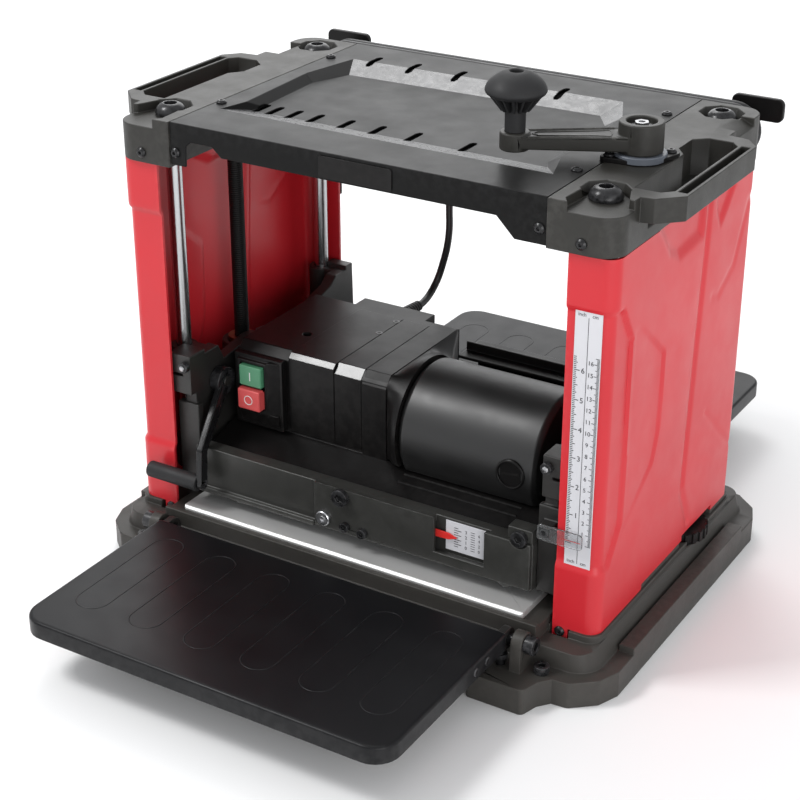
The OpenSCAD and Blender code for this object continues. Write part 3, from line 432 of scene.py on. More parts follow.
CORD_D = 7.0
HOOK_X, HOOK_Z, HOOK_R = 198.0, 386.0, 18.0
HANK_R = HOOK_R + 0.3 + CORD_D / 2
LEAD_ROUTE = [
    (-80, 100.5, 182), (-80, 108, 182), (-80, 119, 185), (-79, 128, 192), (-77, 134, 202),
    (-74, 137, 216), (-71, 139, 232), (-70, 141, 250), (-72, 144, 268), (-74, 147.5, 286),
    (-72, 150.5, 304), (-62, 153, 320), (-44, 154.5, 334), (-18, 155.5, 344), (20, 155.5, 351),
    (70, 155.5, 356.5), (130, 155.5, 361.5), (198, 155.5, 364)]
TAIL_ROUTE = [(-220, 169.5, 386), (-220, 169, 374), (-220, 167, 360), (-220, 165, 346),
              (-220, 163.5, 332), (-220, 163, 318)]


def hook_arc(x, start, end, y, steps=16):
    """Points of an arc about one hook, by its angles from +X towards +Z."""
    arc = []
    for k in range(steps + 1):
        a = math.radians(start + (end - start) * k / steps)
        arc.append((x + HANK_R * math.cos(a), y, HOOK_Z + HANK_R * math.sin(a)))
    return arc


def hank_path():
    """Two and a half turns about both hooks, each a diameter further back than the last."""
    upper, lower, shift = 160, 180, 150
    path = []
    for turn in range(3):
        y = LEAD_ROUTE[-1][1] + CORD_D * turn
        path += hook_arc(HOOK_X, -90, 90, y)
        path += [(x, y, HOOK_Z + HANK_R) for x in range(upper, -upper - 1, -40)]
        path += hook_arc(-HOOK_X, 90, 180 if turn == 2 else 270, y)
        if turn < 2:
            path += [(x, y + CORD_D * smooth((x + shift) / (2 * shift)), HOOK_Z - HANK_R)
                     for x in range(-lower, lower + 1, 20)]
    return path


def make_cord():
    """The lead from the strain relief to the plug."""
    path = spline(LEAD_ROUTE, 5)[:-1] + [Vector(p) for p in hank_path()]
    path += spline(TAIL_ROUTE, 3)[1:]
    bm = bmesh.new()
    add_tube(bm, path, CORD_D / 2, 14)
    cord = piece("mains_lead", bm, cord_rubber, None, "rubber",
                 ("cord_lead", "cord_hank", "cord_tail"), loose=True)
    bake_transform(cord)
    plug = refined("cord_plug", rubber, 0.8)
    gland = make_gland()


def make_gland():
    """Tapered strain relief with rings moulded round it."""
    lo, hi = box_mm("cord_gland")
    x, z = (lo.x + hi.x) / 2, (lo.z + hi.z) / 2
    tapered, count = 36, 8
    tip, root = hi.y, hi.y - tapered
    profile = [(6, lo.y), (6, root), (8, root + 0.3), (8, root + 3)]
    step = (tip - root - 4) / count
    for i in range(count):
        y, r = root + 4 + i * step, 7.4 - 2.6 * i / count
        profile += [(r - 1, y), (r - 1, y + step * 0.35), (r, y + step * 0.45), (r - 0.1, y + step)]
    profile += [(4.6, tip)]
    bm = bmesh.new()
    add_lathe(bm, profile, "y", (x, 0, z), 32)
    return part_of("cord_gland", "strain_relief", bm, rubber)


make_camera()
make_stage()
make_cord()


# ---- side covers ----

def inside_by(polygon, y, z):
    """Distance from a point to a polygon's edge, above 0 inside it."""
    best, inside = 1e9, False
    count = len(polygon)
    for i in range(count):
        (y0, z0), (y1, z1) = polygon[i], polygon[(i + 1) % count]
        best = min(best, to_segment(y, z, y0, z0, y1, z1))
        if (z0 > z) != (z1 > z) and y < (y1 - y0) * (z - z0) / (z1 - z0) + y0:
            inside = not inside
    return best if inside else -best


def to_segment(y, z, y0, z0, y1, z1):
    """Distance from a point to a segment."""
    dy, dz = y1 - y0, z1 - z0
    t = max(0.0, min(1.0, ((y - y0) * dy + (z - z0) * dz) / (dy * dy + dz * dz)))
    return math.hypot(y - y0 - t * dy, z - z0 - t * dz)


def to_line(line, y, z):
    """Distance from a point to a row of segments."""
    return min(to_segment(y, z, *a, *b) for a, b in zip(line, line[1:]))


# outlines on a cover's unrolled skin: the place along it, which is Y on the flat side, and Z
SCALE_PANEL = [(-200, 104), (-200, 331), (-124, 331), (-103, 297), (-105, 135), (-126, 104)]
FRONT_FIELD = [(-100, 304), (-90, 304), (-38, 262), (-40, 191), (-49, 165), (-102, 128),
               (-120, 112), (-102, 134), (-100, 297)]
HANDLE_DENT = [(-88, 400), (-64, 372), (-42, 344), (-22, 334), (28, 338), (37, 400)]
REAR_DENT = [(44, 400), (52, 352), (61, 334), (75, 347), (92, 366), (110, 400)]
LONG_GROOVE = [(38, 380), (36, 328), (30, 247), (22, 106), (42, 66)]
REAR_FOLD = [(140, 346), (125, 341), (100, 290), (70, 273), (58, 276)]
LOW_FOLD = [(62, 164), (126, 107), (150, 96)]


def cover_depth(t, z):
    """How far a cover's skin lies inside its outer box."""
    depth = 2.5 * smooth(inside_by(SCALE_PANEL, t, z) / 2.2)
    field = smooth(inside_by(FRONT_FIELD, t, z) / 2.5 + 0.2)
    depth += field * (0.3 + 1.3 * smooth((t + 102) / 64))
    depth += 3.6 * smooth(inside_by(HANDLE_DENT, t, z) / 12 + 0.1)
    depth += 2.6 * smooth(inside_by(REAR_DENT, t, z) / 9 + 0.1)
    groove = to_line(LONG_GROOVE, t, z)
    depth += 2.0 * math.exp(-(groove / 3.6) ** 2) + 0.5 * math.exp(-(groove / 15) ** 2)
    rear = to_line(REAR_FOLD, t, z)
    depth += 0.9 * math.exp(-(rear / 4) ** 2)
    depth += 0.8 * math.exp(-(to_line(LOW_FOLD, t, z) / 2.5) ** 2)
    return depth


def cover_rail(lo, hi, radius):
    """Plan of the skin from the inner front edge round to the inner rear edge: x, y, the
    outward normal and the place along it."""
    rail = []
    front, rear, side = lo.y, hi.y, hi.x
    inner, near, far = side - radius, front + radius, rear - radius
    ends, flat, turn = 8, 106, 9

    def corner(y, start):
        """Adds a quarter turn, in steps of some degrees, without its two ends."""
        for k in range(1, 90 // turn):
            a = math.radians(start + turn * k)
            rail.append((inner + radius * math.cos(a), y + radius * math.sin(a),
                         math.cos(a), math.sin(a)))

    for k in range(ends + 1):
        rail.append((lo.x + (inner - lo.x) * k / ends, front, 0, -1))
    corner(near, -90)
    for k in range(flat + 1):
        rail.append((side, near + (rear - front - 2 * radius) * k / flat, 1, 0))
    corner(far, 0)
    for k in range(ends + 1):
        rail.append((inner - (inner - lo.x) * k / ends, rear, 0, 1))
    return rail


def make_cover(node, has_notch):
    """A moulded cover: a sculpted skin of even thickness, with a top wall and a screw tab. Its
    hem is raised behind the front foot, and has a notch for the turret knob if asked."""
    lo, hi = box_mm("cover_right")
    radius, skin, low = 12, 2.6, 46
    hem_from, hem_top = -55, low + 5
    notch_front, notch_rear, notch_top, notch_side = 29, 95, 56, 220
    rail = cover_rail(lo, hi, radius)
    rows = 128
    bm = bmesh.new()
    grid = []
    along = -(hi.x - radius - lo.x) - math.pi / 2 * radius + lo.y + radius
    before = rail[0]
    for x, y, nx, ny in rail:
        along += math.hypot(x - before[0], y - before[1])
        before = (x, y)
        column = []
        for r in range(rows + 1):
            z = low + (hi.z - low) * r / rows
            d = cover_depth(along, z)
            column.append(bm.verts.new((x - nx * d, y - ny * d, z)))
        grid.append(column)
    for a, b, (x, y, nx, ny) in zip(grid, grid[1:], rail):
        for r in range(rows):
            z = low + (hi.z - low) * (r + 0.5) / rows
            hem = y > hem_from and z < hem_top
            notch = notch_front < y < notch_rear and z < notch_top and x > notch_side
            if not (hem or has_notch and notch):
                bm.faces.new((a[r], b[r], b[r + 1], a[r + 1]))
    loose = [v for v in bm.verts if not v.link_faces]
    bmesh.ops.delete(bm, geom=loose, context="VERTS")
    outer = list(bm.faces)
    bmesh.ops.recalc_face_normals(bm, faces=bm.faces)
    if sum(f.normal.x * f.calc_area() for f in outer) < 0:
        bmesh.ops.reverse_faces(bm, faces=outer)
    bmesh.ops.solidify(bm, geom=outer, thickness=skin)
    add_box(bm, (lo.x, lo.y + 3, hi.z - skin), (hi.x - 6, hi.y - 3, hi.z - 0.1))
    add_box(bm, (lo.x, lo.y + 0.1, 36.5), (lo.x + 14, lo.y + 2.5, low + 1))
    if node == "cover_left":
        bm.transform(Matrix.Scale(-1, 4, (1, 0, 0)))
        bmesh.ops.reverse_faces(bm, faces=bm.faces)
    part_of(node, node + "_moulding", bm, red, sharp=40)


make_cover("cover_right", True)
make_cover("cover_left", False)


# ---- lead screws ----

def make_thread(node):
    """A lead screw: the crest of a thread wound round its core, between plain ends."""
    lo, hi = box_mm(node)
    x, y, r = (lo.x + hi.x) / 2, (lo.y + hi.y) / 2, (hi.x - lo.x) / 2
    journal, shoulder = 6, 36
    bottom, top, depth, pitch, steps = 58.0, 400, 0.7, 2.0, 16
    bm = bmesh.new()
    add_lathe(bm, [(journal, lo.z), (journal, shoulder), (r, shoulder + 0.2), (r, bottom),
                   (r - depth, bottom + 0.5), (r - depth, top - 0.5), (r, top), (r, hi.z - 1),
                   (r - 1, hi.z)], "z", (x, y, 0), 32)
    section = [(r - depth - 0.2, -0.85), (r, -0.3), (r, 0.3), (r - depth - 0.2, 0.85)]
    rings = []
    for k in range(int((top - bottom - pitch) / pitch * steps)):
        a = 2 * math.pi * k / steps
        z = bottom + 1.3 + pitch * k / steps
        rings.append([(x + q * math.cos(a), y + q * math.sin(a), z + w) for q, w in section])
    add_rings(bm, rings)
    part_of(node, node + "_threaded", bm, thread_black, sharp=50)


make_thread("lead_screw_left")
make_thread("lead_screw_right")


# ---- cut pieces and print ----

def cut(obj, cutter_bm):
    """Takes a bmesh in millimetres out of a piece, for good."""
    cutter_bm.transform(Matrix.Scale(MM, 4))
    bmesh.ops.recalc_face_normals(cutter_bm, faces=cutter_bm.faces)
    mesh = bpy.data.meshes.new("cutter")
    cutter_bm.to_mesh(mesh)
    cutter_bm.free()
    tool = bpy.data.objects.new("cutter", mesh)
    bpy.context.scene.collection.objects.link(tool)
    modifier = obj.modifiers.new("cut", "BOOLEAN")
    modifier.object = tool
    modifier.solver = "EXACT"
    kept = [m for m in obj.modifiers if m.name != "cut"]
    shown = [m.show_viewport for m in kept]
    for m in kept:
        m.show_viewport = False
    shape = obj.evaluated_get(bpy.context.evaluated_depsgraph_get())
    result = bpy.data.meshes.new_from_object(shape)
    obj.modifiers.remove(modifier)
    for m, was in zip(kept, shown):
        m.show_viewport = was
    obj.data = result
    bpy.data.objects.remove(tool)


def add_text(bm, text, size, place, turn):
    """Adds raised lettering, centred on a place; turn maps its plane into the model's space."""
    curve = bpy.data.curves.new("lettering", "FONT")
    curve.body = text
    curve.size = size
    curve.align_x = "CENTER"
    curve.align_y = "CENTER"
    curve.extrude = 0.06
    curve.resolution_u = 3
    holder = bpy.data.objects.new("lettering", curve)
    bpy.context.scene.collection.objects.link(holder)
    shape = holder.evaluated_get(bpy.context.evaluated_depsgraph_get())
    mesh = bpy.data.meshes.new_from_object(shape)
    mesh.transform(Matrix.Translation(place) @ turn.to_4x4())
    bm.from_mesh(mesh)
    bpy.data.meshes.remove(mesh)
    bpy.data.objects.remove(holder)
    bpy.data.curves.remove(curve)


FACING_FRONT = Matrix(((1, 0, 0), (0, 0, -1), (0, 1, 0)))


def make_scale():
    """The depth scale: a white strip with inch marks on the left and millimetres on the right."""
    lo, hi = box_mm("depth_scale")
    face = lo.y
    inch, sixteenths, decade = 25.4, 16, 10
    strip = bmesh.new()
    add_box(strip, (lo.x, face + 0.2, lo.z), (hi.x, hi.y, hi.z))
    part_of("depth_scale", "scale_strip", strip, label_white, bevel=0.15, segments=1)
    middle, zero, top = (lo.x + hi.x) / 2, 127.0, 165.0
    bm = bmesh.new()

    def mark(x0, x1, z, thick):
        """Adds a thin bar to the print."""
        add_box(bm, (x0, face + 0.05, z - thick / 2), (x1, face + 0.3, z + thick / 2))

    add_box(bm, (middle - 0.2, face + 0.05, lo.z + 3), (middle + 0.2, face + 0.3, hi.z - 6))
    for k in range(int(top / inch * sixteenths) + 1):
        long = {0: 5.2, 8: 4.0, 4: 3.2, 12: 3.2}.get(k % sixteenths, 2.2)
        mark(lo.x + 0.6, lo.x + 0.6 + long, zero + inch * k / sixteenths, 0.60)
    for k in range(int(top) + 1):
        long = {0: 4.6, 5: 3.4}.get(k % decade, 2.2)
        mark(hi.x - 0.6 - long, hi.x - 0.6, zero + k, 0.46)
    for k in range(1, 7):
        add_text(bm, str(k), 6.5, (middle - 3.0, face + 0.1, zero + inch * k), FACING_FRONT)
    for k in range(1, 17):
        add_text(bm, str(k), 5.2, (middle + 3.4, face + 0.1, zero + decade * k), FACING_FRONT)
    for z in (lo.z + 4, hi.z - 4):
        add_text(bm, "inch", 4.2, (middle - 5.6, face + 0.1, z), FACING_FRONT)
        add_text(bm, "cm", 4.2, (middle + 5.4, face + 0.1, z), FACING_FRONT)
    piece("scale_marks", bm, ink, BODY_OF["depth_scale"], "label_white")


def make_gauge_label():
    """Marks of the cut-depth gauge: a row of steps with figures beside the pointer."""
    lo = box_mm("thickness_label")[0]
    refined("thickness_label", label_white, 0.2, 1)
    bm = bmesh.new()
    face = lo.y - 0.08
    steps, apart, figures, figures_apart = 9, 2.2, 4, 5
    for k in range(steps):
        z = lo.z + 5 + apart * k
        add_box(bm, (lo.x + 8, face, z - 0.3), (lo.x + 12 + 3 * (k % 2), face + 0.2, z + 0.3))
        add_box(bm, (lo.x + 24, face, z - 0.25), (lo.x + 28, face + 0.2, z + 0.25))
    for k in range(figures):
        z = lo.z + 6 + figures_apart * k
        add_text(bm, str(k), 4.4, (lo.x + 19.5, face + 0.02, z), FACING_FRONT)
        add_text(bm, str(k * 2), 3.8, (lo.x + 32, face + 0.02, z), FACING_FRONT)
    piece("gauge_marks", bm, ink, BODY_OF["thickness_label"], "label_white")


def make_cursor():
    """The clear cursor with its red line and the head of its screw."""
    lo, hi = box_mm("cursor")
    refined("cursor", clear, 0.3, 2)
    line = bmesh.new()
    middle = (lo.z + hi.z) / 2
    add_box(line, (hi.x - 19, lo.y + 0.02, middle - 0.35), (hi.x - 1, lo.y + 0.25, middle + 0.35))
    piece("cursor_line", line, pointer_red, BODY_OF["cursor"], SLOT_OF["cursor"])
    screw = bmesh.new()
    add_lathe(screw, [(0.6, lo.y + 0.5), (1.6, lo.y + 0.1), (3.0, lo.y + 0.02), (3.6, lo.y + 0.3),
                      (3.6, hi.y)], "y", (lo.x + 6, 0, middle), 24)
    piece("cursor_screw", screw, oxide, BODY_OF["cursor"], SLOT_OF["crank_bolt"], sharp=40)


make_scale()
make_gauge_label()
make_cursor()


# ---- tray top ----

RECESS_EDGE = [(-161, -92), (-155, -64), (-161, 36), (-150, 98), (121, 104), (140, 62),
               (143, -58), (156, -96)]
RECESS_FLOOR = [(-152, -64), (-147, -50), (-152, 34), (-138, 72), (112, 78), (128, 54),
                (130, -54), (136, -66)]
FRONT_SLOTS = (-146, -132, -112, -90, -59, -28, 7, 58)
REAR_SLOTS = (-130, -88, -40, 8, 63)
SLOTS = [(x, -70, -42) for x in FRONT_SLOTS] + [(x, 90, 116) for x in REAR_SLOTS]


def make_tray():
    """Pressed sheet with a sloping-sided recess whose front and rear slopes get a lighter paint as
    a painted highlight, flanges at the front and rear, and two rows of slots with near-black plates
    under them as painted shade."""
    lo, hi = box_mm("top_tray")
    sheet, depth = 2.0, 7.0
    top, front = hi.z, lo.y
    bm = bmesh.new()
    rim = [(lo.x, front), (hi.x, front), (hi.x, hi.y), (lo.x, hi.y)]
    edge = [bm.verts.new((x, y, top)) for x, y in RECESS_EDGE]
    floor = [bm.verts.new((x, y, top - depth)) for x, y in RECESS_FLOOR]
    outer = [bm.verts.new((x, y, top)) for x, y in rim]
    loops = []
    for ring in (edge, outer):
        loops += [bm.edges.new((a, b)) for a, b in zip(ring, ring[1:] + ring[:1])]
    bmesh.ops.triangle_fill(bm, edges=loops, use_beauty=True)
    bm.faces.new(floor)
    count = len(edge)
    for i in range(count):
        j = (i + 1) % count
        bm.faces.new((edge[i], edge[j], floor[j], floor[i]))
    bmesh.ops.recalc_face_normals(bm, faces=bm.faces)
    if sum(f.normal.z * f.calc_area() for f in bm.faces) < 0:
        bmesh.ops.reverse_faces(bm, faces=bm.faces)
    bmesh.ops.solidify(bm, geom=list(bm.faces), thickness=sheet)
    for v in bm.verts:
        v.co.x = max(lo.x, min(hi.x, v.co.x))
        v.co.y = max(lo.y, min(hi.y, v.co.y))
    flange = [(lo.x, top - 1), (lo.x, 378), (-161, 378), (-160, 396), (-155, 400), (-133, 400),
              (-124, 392), (133, 392), (149, 376), (hi.x, 376), (hi.x, top - 1)]
    add_prism(bm, flange, "y", front, front + sheet)
    add_box(bm, (lo.x, hi.y - sheet, 385), (hi.x, hi.y, top - 1))
    tray = part_of("top_tray", "tray_sheet", bm, tray_paint, bevel=0.5, segments=2)
    slots = bmesh.new()
    for x, y0, y1 in SLOTS:
        slit = [(x - 2.8, y0 + 3), (x - 1.2, y0), (x + 1.6, y0 + 0.6), (x + 3.0, y0 + 4),
                (x + 2.8, y1 - 3), (x + 1.2, y1), (x - 1.6, y1 - 0.6), (x - 3.0, y1 - 4)]
        add_prism(slots, slit, "z", top - 30, top + 5)
    cut(tray, slots)
    tray.data.set_sharp_from_angle(angle=math.radians(7))
    # The front and rear slopes of the recess get the lighter paint, a painted highlight strip.
    tray.data.materials.append(tray_slope_painted_highlight)
    for face in tray.data.polygons:
        in_recess = top - depth - 0.5 < face.center.z / MM < top
        if in_recess and face.normal.z > 0.9 and abs(face.normal.y) > 0.12:
            face.material_index = 1
    # Plates under the slots in the near-black finish, painted shade seen through the openings.
    slot_shade_plates = bmesh.new()
    for x, y0, y1 in SLOTS:
        upper = [(y0 - 3, top - 7.2), (y0 + 8, top - 2.6), (y1 + 5, top - 2.6)]
        if y0 < 0:
            upper = [(y0 - 5, top - 8.2), (y0 + 4, top - 9.3), (y1 + 5, top - 9.3)]
        under = [(y, z - 1.6) for y, z in reversed(upper)]
        add_prism(slot_shade_plates, upper + under, "x", x - 8, x + 8)
    part_of("top_tray", "tray_slot_shade_plates", slot_shade_plates, slot_painted_shade)


make_tray()


# ---- crank ----

def make_crank():
    """Cast arm with raised borders round a long panel, over a grey collar and its flange."""
    refined("crank_arm", paint, 1.4, 3)
    lo, hi = box_mm("crank_bolt")
    centre = Vector(((lo.x + hi.x) / 2, (lo.y + hi.y) / 2, 0))
    lo, hi = box_mm("crank_knob")
    knob = Vector(((lo.x + hi.x) / 2, (lo.y + hi.y) / 2, 0))
    out = (knob - centre).normalized()
    side = Vector((-out.y, out.x, 0))
    bm = bmesh.new()

    def at(along, across, z):
        """A place by its distances along the arm and across it."""
        return centre + out * along + side * across + Vector((0, 0, z))

    for sign in (-1, 1):
        path = [at(20, 13.0 * sign, 434.6), at(60, 11.0 * sign, 433.9), at(88, 9.4 * sign, 433.3)]
        add_tube(bm, path, 1.3, 8)
    panel = [at(24, 8.0, 434.4), at(34, 6.2, 434.3), at(80, 4.6, 433.6), at(84, 0, 433.5),
             at(80, -4.6, 433.6), at(34, -6.2, 434.3), at(24, -8.0, 434.4), at(22, 0, 434.4)]
    add_tube(bm, panel, 1.0, 8, closed=True)
    part_of("crank_arm", "crank_ribs", bm, paint)
    collar = bmesh.new()
    add_lathe(collar, [(9, 415.4), (20.7, 415.4), (21.3, 416.2), (21.3, 420.6), (20.7, 421.2),
                       (9, 421.2)], "z", centre, 48)
    part_of("crank_flange", "crank_collar", collar, ring_grey)
    refined("crank_flange", plastic, 0.6, 2)


def make_knob():
    """Mushroom knob, ribbed below, with the hole of its axle screw on top."""
    lo, hi = box_mm("crank_knob")
    centre = Vector(((lo.x + hi.x) / 2, (lo.y + hi.y) / 2, 0))
    top, ribs = hi.z, 16
    stem, rib_low, rib_high, half = 8, 12, 22, 0.8
    cap = [(4.8, top - 10), (5.0, top - 1.2), (5.8, top - 0.3), (7, top), (11, top - 1.0),
           (16, top - 3.6), (20, top - 6.8), (23, top - 10.6), (24.3, top - 14),
           (24.4, top - 15.6), (23.4, top - 17.4), (20, top - 19.6), (13, top - 20.6),
           (9.2, top - 22.5), (8.4, top - 26), (8.2, top - 47.6), (5, top - 47.6), (5, top - 53)]
    bm = bmesh.new()
    add_lathe(bm, list(reversed(cap)), "z", centre, 64)
    for k in range(ribs):
        a = 2 * math.pi * k / ribs
        u, v = Vector((math.cos(a), math.sin(a), 0)), Vector((-math.sin(a), math.cos(a), 0))
        rings = []
        for reach, down in ((rib_low, 31), (rib_high, 18)):
            corners = ((stem, -half), (reach, -half), (reach, half), (stem, half))
            rings.append([centre + u * r + v * w + Vector((0, 0, top - down)) for r, w in corners])
        add_rings(bm, rings)
    part_of("crank_knob", "knob_mushroom", bm, rubber, sharp=50)


def make_column_bolts():
    """Large domed heads with a deep socket, over the tops of their shanks."""
    column_x, front_y, rear_y = 205, -105, 120
    dome = [(4, 400), (4, 407), (12.8, 407.05), (13.4, 408.6), (13.1, 410.8), (11.8, 413.6),
            (9.4, 415.8), (7.0, 416.9), (5.9, 416.9), (5.5, 416.4), (5.2, 412.0), (0.5, 411.6)]
    bm = bmesh.new()
    for x in (-column_x, column_x):
        for y in (front_y, rear_y):
            add_lathe(bm, dome, "z", (x, y, 0), 40)
    part_of("column_bolts", "column_bolt_heads", bm, oxide, sharp=45)


make_crank()
make_knob()
make_column_bolts()


# ---- tables ----

def table_outline(half, near, far, inset):
    """Outline of a table pan: round free corners, small ones at the hinge."""
    points = []
    for sx, sy, y, big in ((1, 1, near, 4), (-1, 1, near, 4), (-1, -1, far, 22), (1, -1, far, 22)):
        cx, cy = sx * (half - big), y - sy * big
        start = {(1, 1): 0, (-1, 1): 90, (-1, -1): 180, (1, -1): 270}[(sx, sy)]
        r = max(big - inset, 0.6)
        for k in range(9):
            a = math.radians(start + 90 * k / 8)
            points.append((cx + r * math.cos(a), cy + r * math.sin(a)))
    return points


def make_table(node, end):
    """A pressed pan with six thin raised loops; end is -1 at the front and 1 at the rear. It is
    built as the front one and mirrored for the rear."""
    lo, hi = box_mm(node)
    half, top, low = hi.x, hi.z, lo.z
    near, far = -188.6, -375.6
    loops, first, apart, width, loop_r = 6, -140, 56, 15, 14.5
    bm = bmesh.new()
    rows = [(2.0, top - 2.6), (2.0, low), (0.6, low), (0.0, low + 0.6), (0.0, top - 2.6),
            (0.3, top - 1.5), (1.1, top - 0.7), (2.2, top - 0.35), (4.0, top - 0.3)]
    rings = []
    for inset, z in rows:
        rings.append([(x, y, z) for x, y in table_outline(half, near, far, inset)])
    add_rings(bm, rings)
    for k in range(loops):
        x = first + apart * k
        loop = rounded((x - width, near - 149), (x + width, near - 23), loop_r, 8)
        add_tube(bm, [(a, b, top - 0.5) for a, b in loop], 0.75, 8, closed=True, squash=0.6)
    if end > 0:
        bm.transform(Matrix.Scale(-1, 4, (0, 1, 0)))
    part_of(node, node + "_pan", bm, table_paint, sharp=50)


def make_table_screws():
    """The hinge plates, and countersunk screws into them through the side skirts of the tables."""
    inner, face, skin = 175, 177.3, 177.9
    for node, end in (("infeed_brackets", -1), ("outfeed_brackets", 1)):
        refined(node, casting, 0.8, 2)
        bm = bmesh.new()
        for side in (-1, 1):
            for y in (222, 240):
                add_lathe(bm, [(3.6, inner * side), (3.6, face * side), (2.8, skin * side),
                               (1.4, skin * side)], "x", (0, end * y, 50), 20)
        part_of(node, node + "_screws", bm, oxide)


make_table("infeed_table", -1)
make_table("outfeed_table", 1)


# ---- switch ----

def make_switch():
    """Switch body whose frame slopes to the panel, and two buttons with white marks."""
    refined("switch_box", plastic, 1.6, 3)
    front = box_mm("switch_box")[0].y
    panel = front + 4.2
    slope = bmesh.new()
    wedge = [(-124.5, front), (-124.5, panel), (-111.5, panel), (-113.5, panel - 0.8)]
    add_prism(slope, wedge, "z", 131, 185.5)
    ramp = [(front + 0.2, 134.5), (panel, 134.5), (panel, 122), (panel - 0.6, 122)]
    add_prism(slope, ramp, "x", -155.5, -113)
    part_of("switch_box", "switch_hood", slope, plastic, bevel=0.8, segments=2)
    reach, steps = 4.2, 32
    for node, finish in (("green_button", green), ("red_button", button_pink)):
        refined(node, finish, 1.6, 3)
        lo, hi = box_mm(node)
        x, z, y = (lo.x + hi.x) / 2, (lo.z + hi.z) / 2, lo.y - 0.02
        mark = bmesh.new()
        if finish is green:
            add_box(mark, (x - 0.5, y, z - reach), (x + 0.5, y + 0.3, z + reach))
        else:
            circle = [(x + reach * math.cos(a), y + 0.1, z + reach * math.sin(a))
                      for a in (2 * math.pi * k / steps for k in range(steps))]
            add_tube(mark, circle, 0.45, 6, closed=True)
        part_of(node, node + "_mark", mark, white_print)


make_switch()
make_table_screws()


# ---- motor housing, can and beam ----

def make_shoulder():
    """Smooth hollow-cheeked shoulder from the flat-sided housing to the round can."""
    start, end, sections, hollow = -4.6, 14.0, 10, 1.8
    y0, y1, z0, z1, chamfer = -80.0, 47.0, 118.4, 195.0, 8.0
    cy, cz, radius = -40.0, 146.0, 57.0
    flat = [(y0, z0), (y0, z1 - chamfer), (y0 + chamfer, z1), (y1, z1), (y1, z0)]
    outline = []
    for (ya, za), (yb, zb) in zip(flat, flat[1:]):
        steps = max(2, int(math.hypot(yb - ya, zb - za) / 4))
        outline += [(ya + (yb - ya) * k / steps, za + (zb - za) * k / steps)
                    for k in range(steps)]
    outline += [(y1, z0), ((y0 + y1) / 2, z0)]
    rings = []
    for k in range(sections + 1):
        t = k / sections
        keep = (1 - t) ** hollow
        ring = []
        for y, z in outline:
            away = math.hypot(y - cy, z - cz)
            ry, rz = cy + (y - cy) * radius / away, cz + (z - cz) * radius / away
            ring.append((start + (end - start) * t, ry + (y - ry) * keep,
                         max(z0, rz + (z - rz) * keep)))
        rings.append(ring)
    bm = bmesh.new()
    add_rings(bm, rings)
    part_of("motor_housing", "housing_shoulder", bm, plastic, sharp=50)


def make_housing():
    """The drive housing without the CAD's plain shoulder, under a larger band beside the can and
    two lids whose front chamfer is a glossier, lighter black: the gloss is real, the lighter colour
    a painted highlight."""
    node = "motor_housing"
    front, top, right, seam = -80, 195.0, -4.4, -30
    shoulder_x, shoulder_z = -3.5, 117.5
    body = cad_mesh(node)
    plain = [v for v in body.verts if v.co.x > shoulder_x and v.co.z > shoulder_z]
    bmesh.ops.delete(body, geom=plain, context="VERTS")
    part_of(node, "housing_body", body, plastic, bevel=1.0, segments=3)
    bm = bmesh.new()
    nose = [(front - 1.4, 108), (front - 1.4, top - 10), (front + 8, top + 0.7),
            (front + 124, top + 0.7), (front + 124, top - 4), (front + 6, top - 8),
            (front + 2, 108)]
    add_prism(bm, nose, "x", seam + 0.6, right)
    for x0, x1, proud, chamfer in ((-107, -59, 1.0, 4.6), (-58.6, seam - 0.6, 0.5, 8.2)):
        edge = front - proud
        lid = [(edge, 119), (edge, top + 0.4 - chamfer), (edge + chamfer, top + 0.4),
               (front + 118, top + 0.4), (front + 118, top - 3), (front + 5, top - 5),
               (front + 2, 119)]
        add_prism(bm, lid, "x", x0, x1)
    lids = part_of(node, "housing_lids", bm, plastic, bevel=0.5, segments=2)
    # The front chamfer faces of the lids get the lighter, glossier black, partly a painted
    # highlight.
    lids.data.materials.append(painted_highlight_gloss)
    for face in lids.data.polygons:
        if face.normal.z > 0.4 and face.normal.y < -0.4 and (face.center / MM).x < seam:
            face.material_index = 1
    screws = bmesh.new()
    screw_x = -62
    for y in (0, 30):
        add_lathe(screws, [(4.2, top - 1), (4.2, top - 0.1), (3.2, top + 0.6), (1.6, top + 0.6),
                           (1.4, top - 0.4)], "z", (screw_x, y, 0), 24)
    part_of(node, "housing_screws", screws, oxide)


def make_can():
    """Smooth can with a ring round each slotted brush cap and two ribs on the apron."""
    refined("motor_can", motor_black, 1.2, 3)
    lo, hi = box_mm("brush_caps")
    x, z = (lo.x + hi.x) / 2, (lo.z + hi.z) / 2
    bm = bmesh.new()
    slot = [(x - 8, z - 1.8), (x + 8, z + 0.4), (x + 8, z + 2.6), (x - 8, z + 0.4)]
    for y, sign in ((lo.y, -1), (hi.y, 1)):
        ring = [(13.6, y - sign * 6), (13.6, y - sign * 0.9), (13.0, y - sign * 0.2), (12.2, y),
                (11.6, y - sign * 0.4), (11.4, y - sign * 1.6), (1.0, y - sign * 1.6)]
        add_lathe(bm, ring, "y", (x, 0, z), 40)
        add_prism(bm, slot, "y", y - sign * 2, y - sign * 1.1)
    part_of("brush_caps", "brush_cap_rings", bm, plastic, sharp=40)
    ribs = bmesh.new()
    for y, z in ((-90, 113.0), (-100, 110.2)):
        add_tube(ribs, [(20, y, z), (136, y, z)], 1.3, 10)
    part_of("motor_can", "apron_ribs", ribs, plastic)


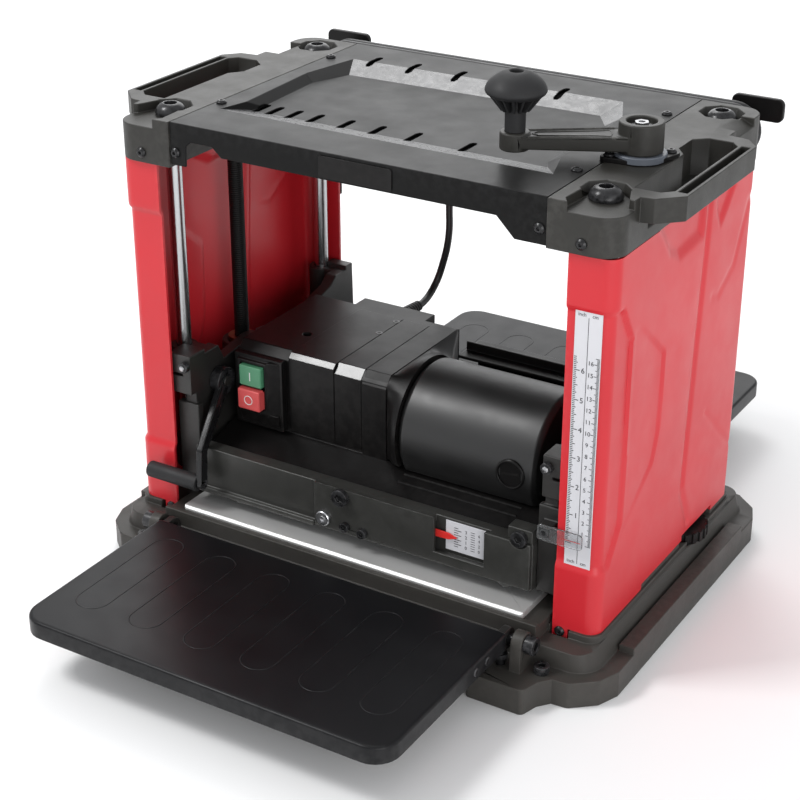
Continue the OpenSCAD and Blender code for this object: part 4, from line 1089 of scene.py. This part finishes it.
def make_carriage_bolts():
    """Black socket screws of the beam, one flat bright one among them, and the bright tips of the
    column clamps' bolts."""
    node, bright_slot = "carriage_bolts", SLOT_OF["crank_bolt"]
    bright_x, bright_z, around = -31, 80, 8
    clamp_x, clamp_z = 181, 186
    bm = cad_mesh(node)
    flat = [v for v in bm.verts
            if abs(v.co.x - bright_x) < around and abs(v.co.z - bright_z) < around]
    bmesh.ops.delete(bm, geom=flat, context="VERTS")
    part_of(node, "socket_screws", bm, oxide, bevel=0.5, segments=2)
    bright = bmesh.new()
    add_lathe(bright, [(0.5, -144.2), (2.2, -144.3), (3, -145), (6.2, -145.1), (6.9, -144.4),
                       (6.9, -142.1), (2.8, -142.1), (2.8, -132)],
              "y", (bright_x, 0, bright_z), 32)
    tips = bmesh.new()
    for x in (-clamp_x, clamp_x):
        add_lathe(tips, [(0.5, -141.4), (2.0, -141.3), (2.6, -140.8), (2.6, -139.8)], "y",
                  (x, 0, clamp_z), 20)
    for name, mesh, finish in (("clamp_tips", tips, steel), ("bright_screws", bright, zinc)):
        piece(name, mesh, finish, BODY_OF[node], bright_slot, (node,), sharp=40)


make_shoulder()
make_housing()
make_can()
make_carriage_bolts()


# ---- base ----

def make_base():
    """The cast base with the raised seats under the rear part of each cover; the right one
    leaves room for the turret knob."""
    node = "base_casting"
    part_of(node, "base_body", cad_mesh(node, False), base_paint, bevel=0.8, segments=2)
    lo, hi = box_mm("cover_right")
    front, turret_front, turret_rear, rear = -54, 27, 97, hi.y - 2
    low, top = 45, 51.4
    bm = bmesh.new()
    for side in (-1, 1):
        x0, x1 = sorted((side * (lo.x - 2), side * (hi.x - 0.6)))
        add_box(bm, (x0, front, low), (x1, turret_front, top))
        add_box(bm, (x0, turret_rear if side > 0 else front, low), (x1, rear, top))
    part_of(node, "cover_seats", bm, base_paint, bevel=0.8, segments=2)


make_base()


# ---- nodes whose shape is right, with rounded edges ----

ROUNDED = {
    "bed_plate": (bed_steel, 0.5, 2),
    "guide_columns": (chrome, 0.8, 2),
    "cap_left": (paint, 0.9, 3),
    "cap_right": (paint, 0.9, 3),
    "name_plate": (plastic, 0.3, 2),
    "small_screws": (oxide, 0.25, 2),
    "cord_hooks": (plastic, 1.2, 3),
    "pivot_bolts": (oxide, 0.6, 2),
    "foot_bolts": (oxide, 0.6, 2),
    "level_stops": (oxide, 0.3, 2),
    "sync_chain": (oxide, 0.4, 2),
    "carriage_left": (casting, 1.2, 3),
    "carriage_right": (casting, 1.2, 3),
    "lift_nuts": (brass, 0.4, 2),
    "front_beam": (beam_paint, 1.0, 2),
    "gauge_plate": (beam_paint, 0.8, 2),
    "chip_hood": (plastic, 0.8, 2),
    "drive_belt": (rubber, 0.3, 1),
    "crank_bolt": (steel, 0.3, 2),
    "sprocket_left": (steel, 0.4, 2),
    "sprocket_right": (steel, 0.4, 2),
    "cutterhead": (steel, 0.4, 2),
    "knives": (zinc, 0.1, 1),
    "roller_infeed": (steel, 0.5, 2),
    "roller_outfeed": (steel, 0.5, 2),
    "armature": (copper, 0.8, 2),
    "lock_lever": (oxide, 0.7, 2),
    "lever_grip": (rubber, 0.8, 2),
    "gauge_pointer": (pointer_red, 0.2, 1),
    "turret_knob": (plastic, 0.6, 2),
}
for node_name, finish in ROUNDED.items():
    refined(node_name, *finish)


bpy.context.view_layer.update()
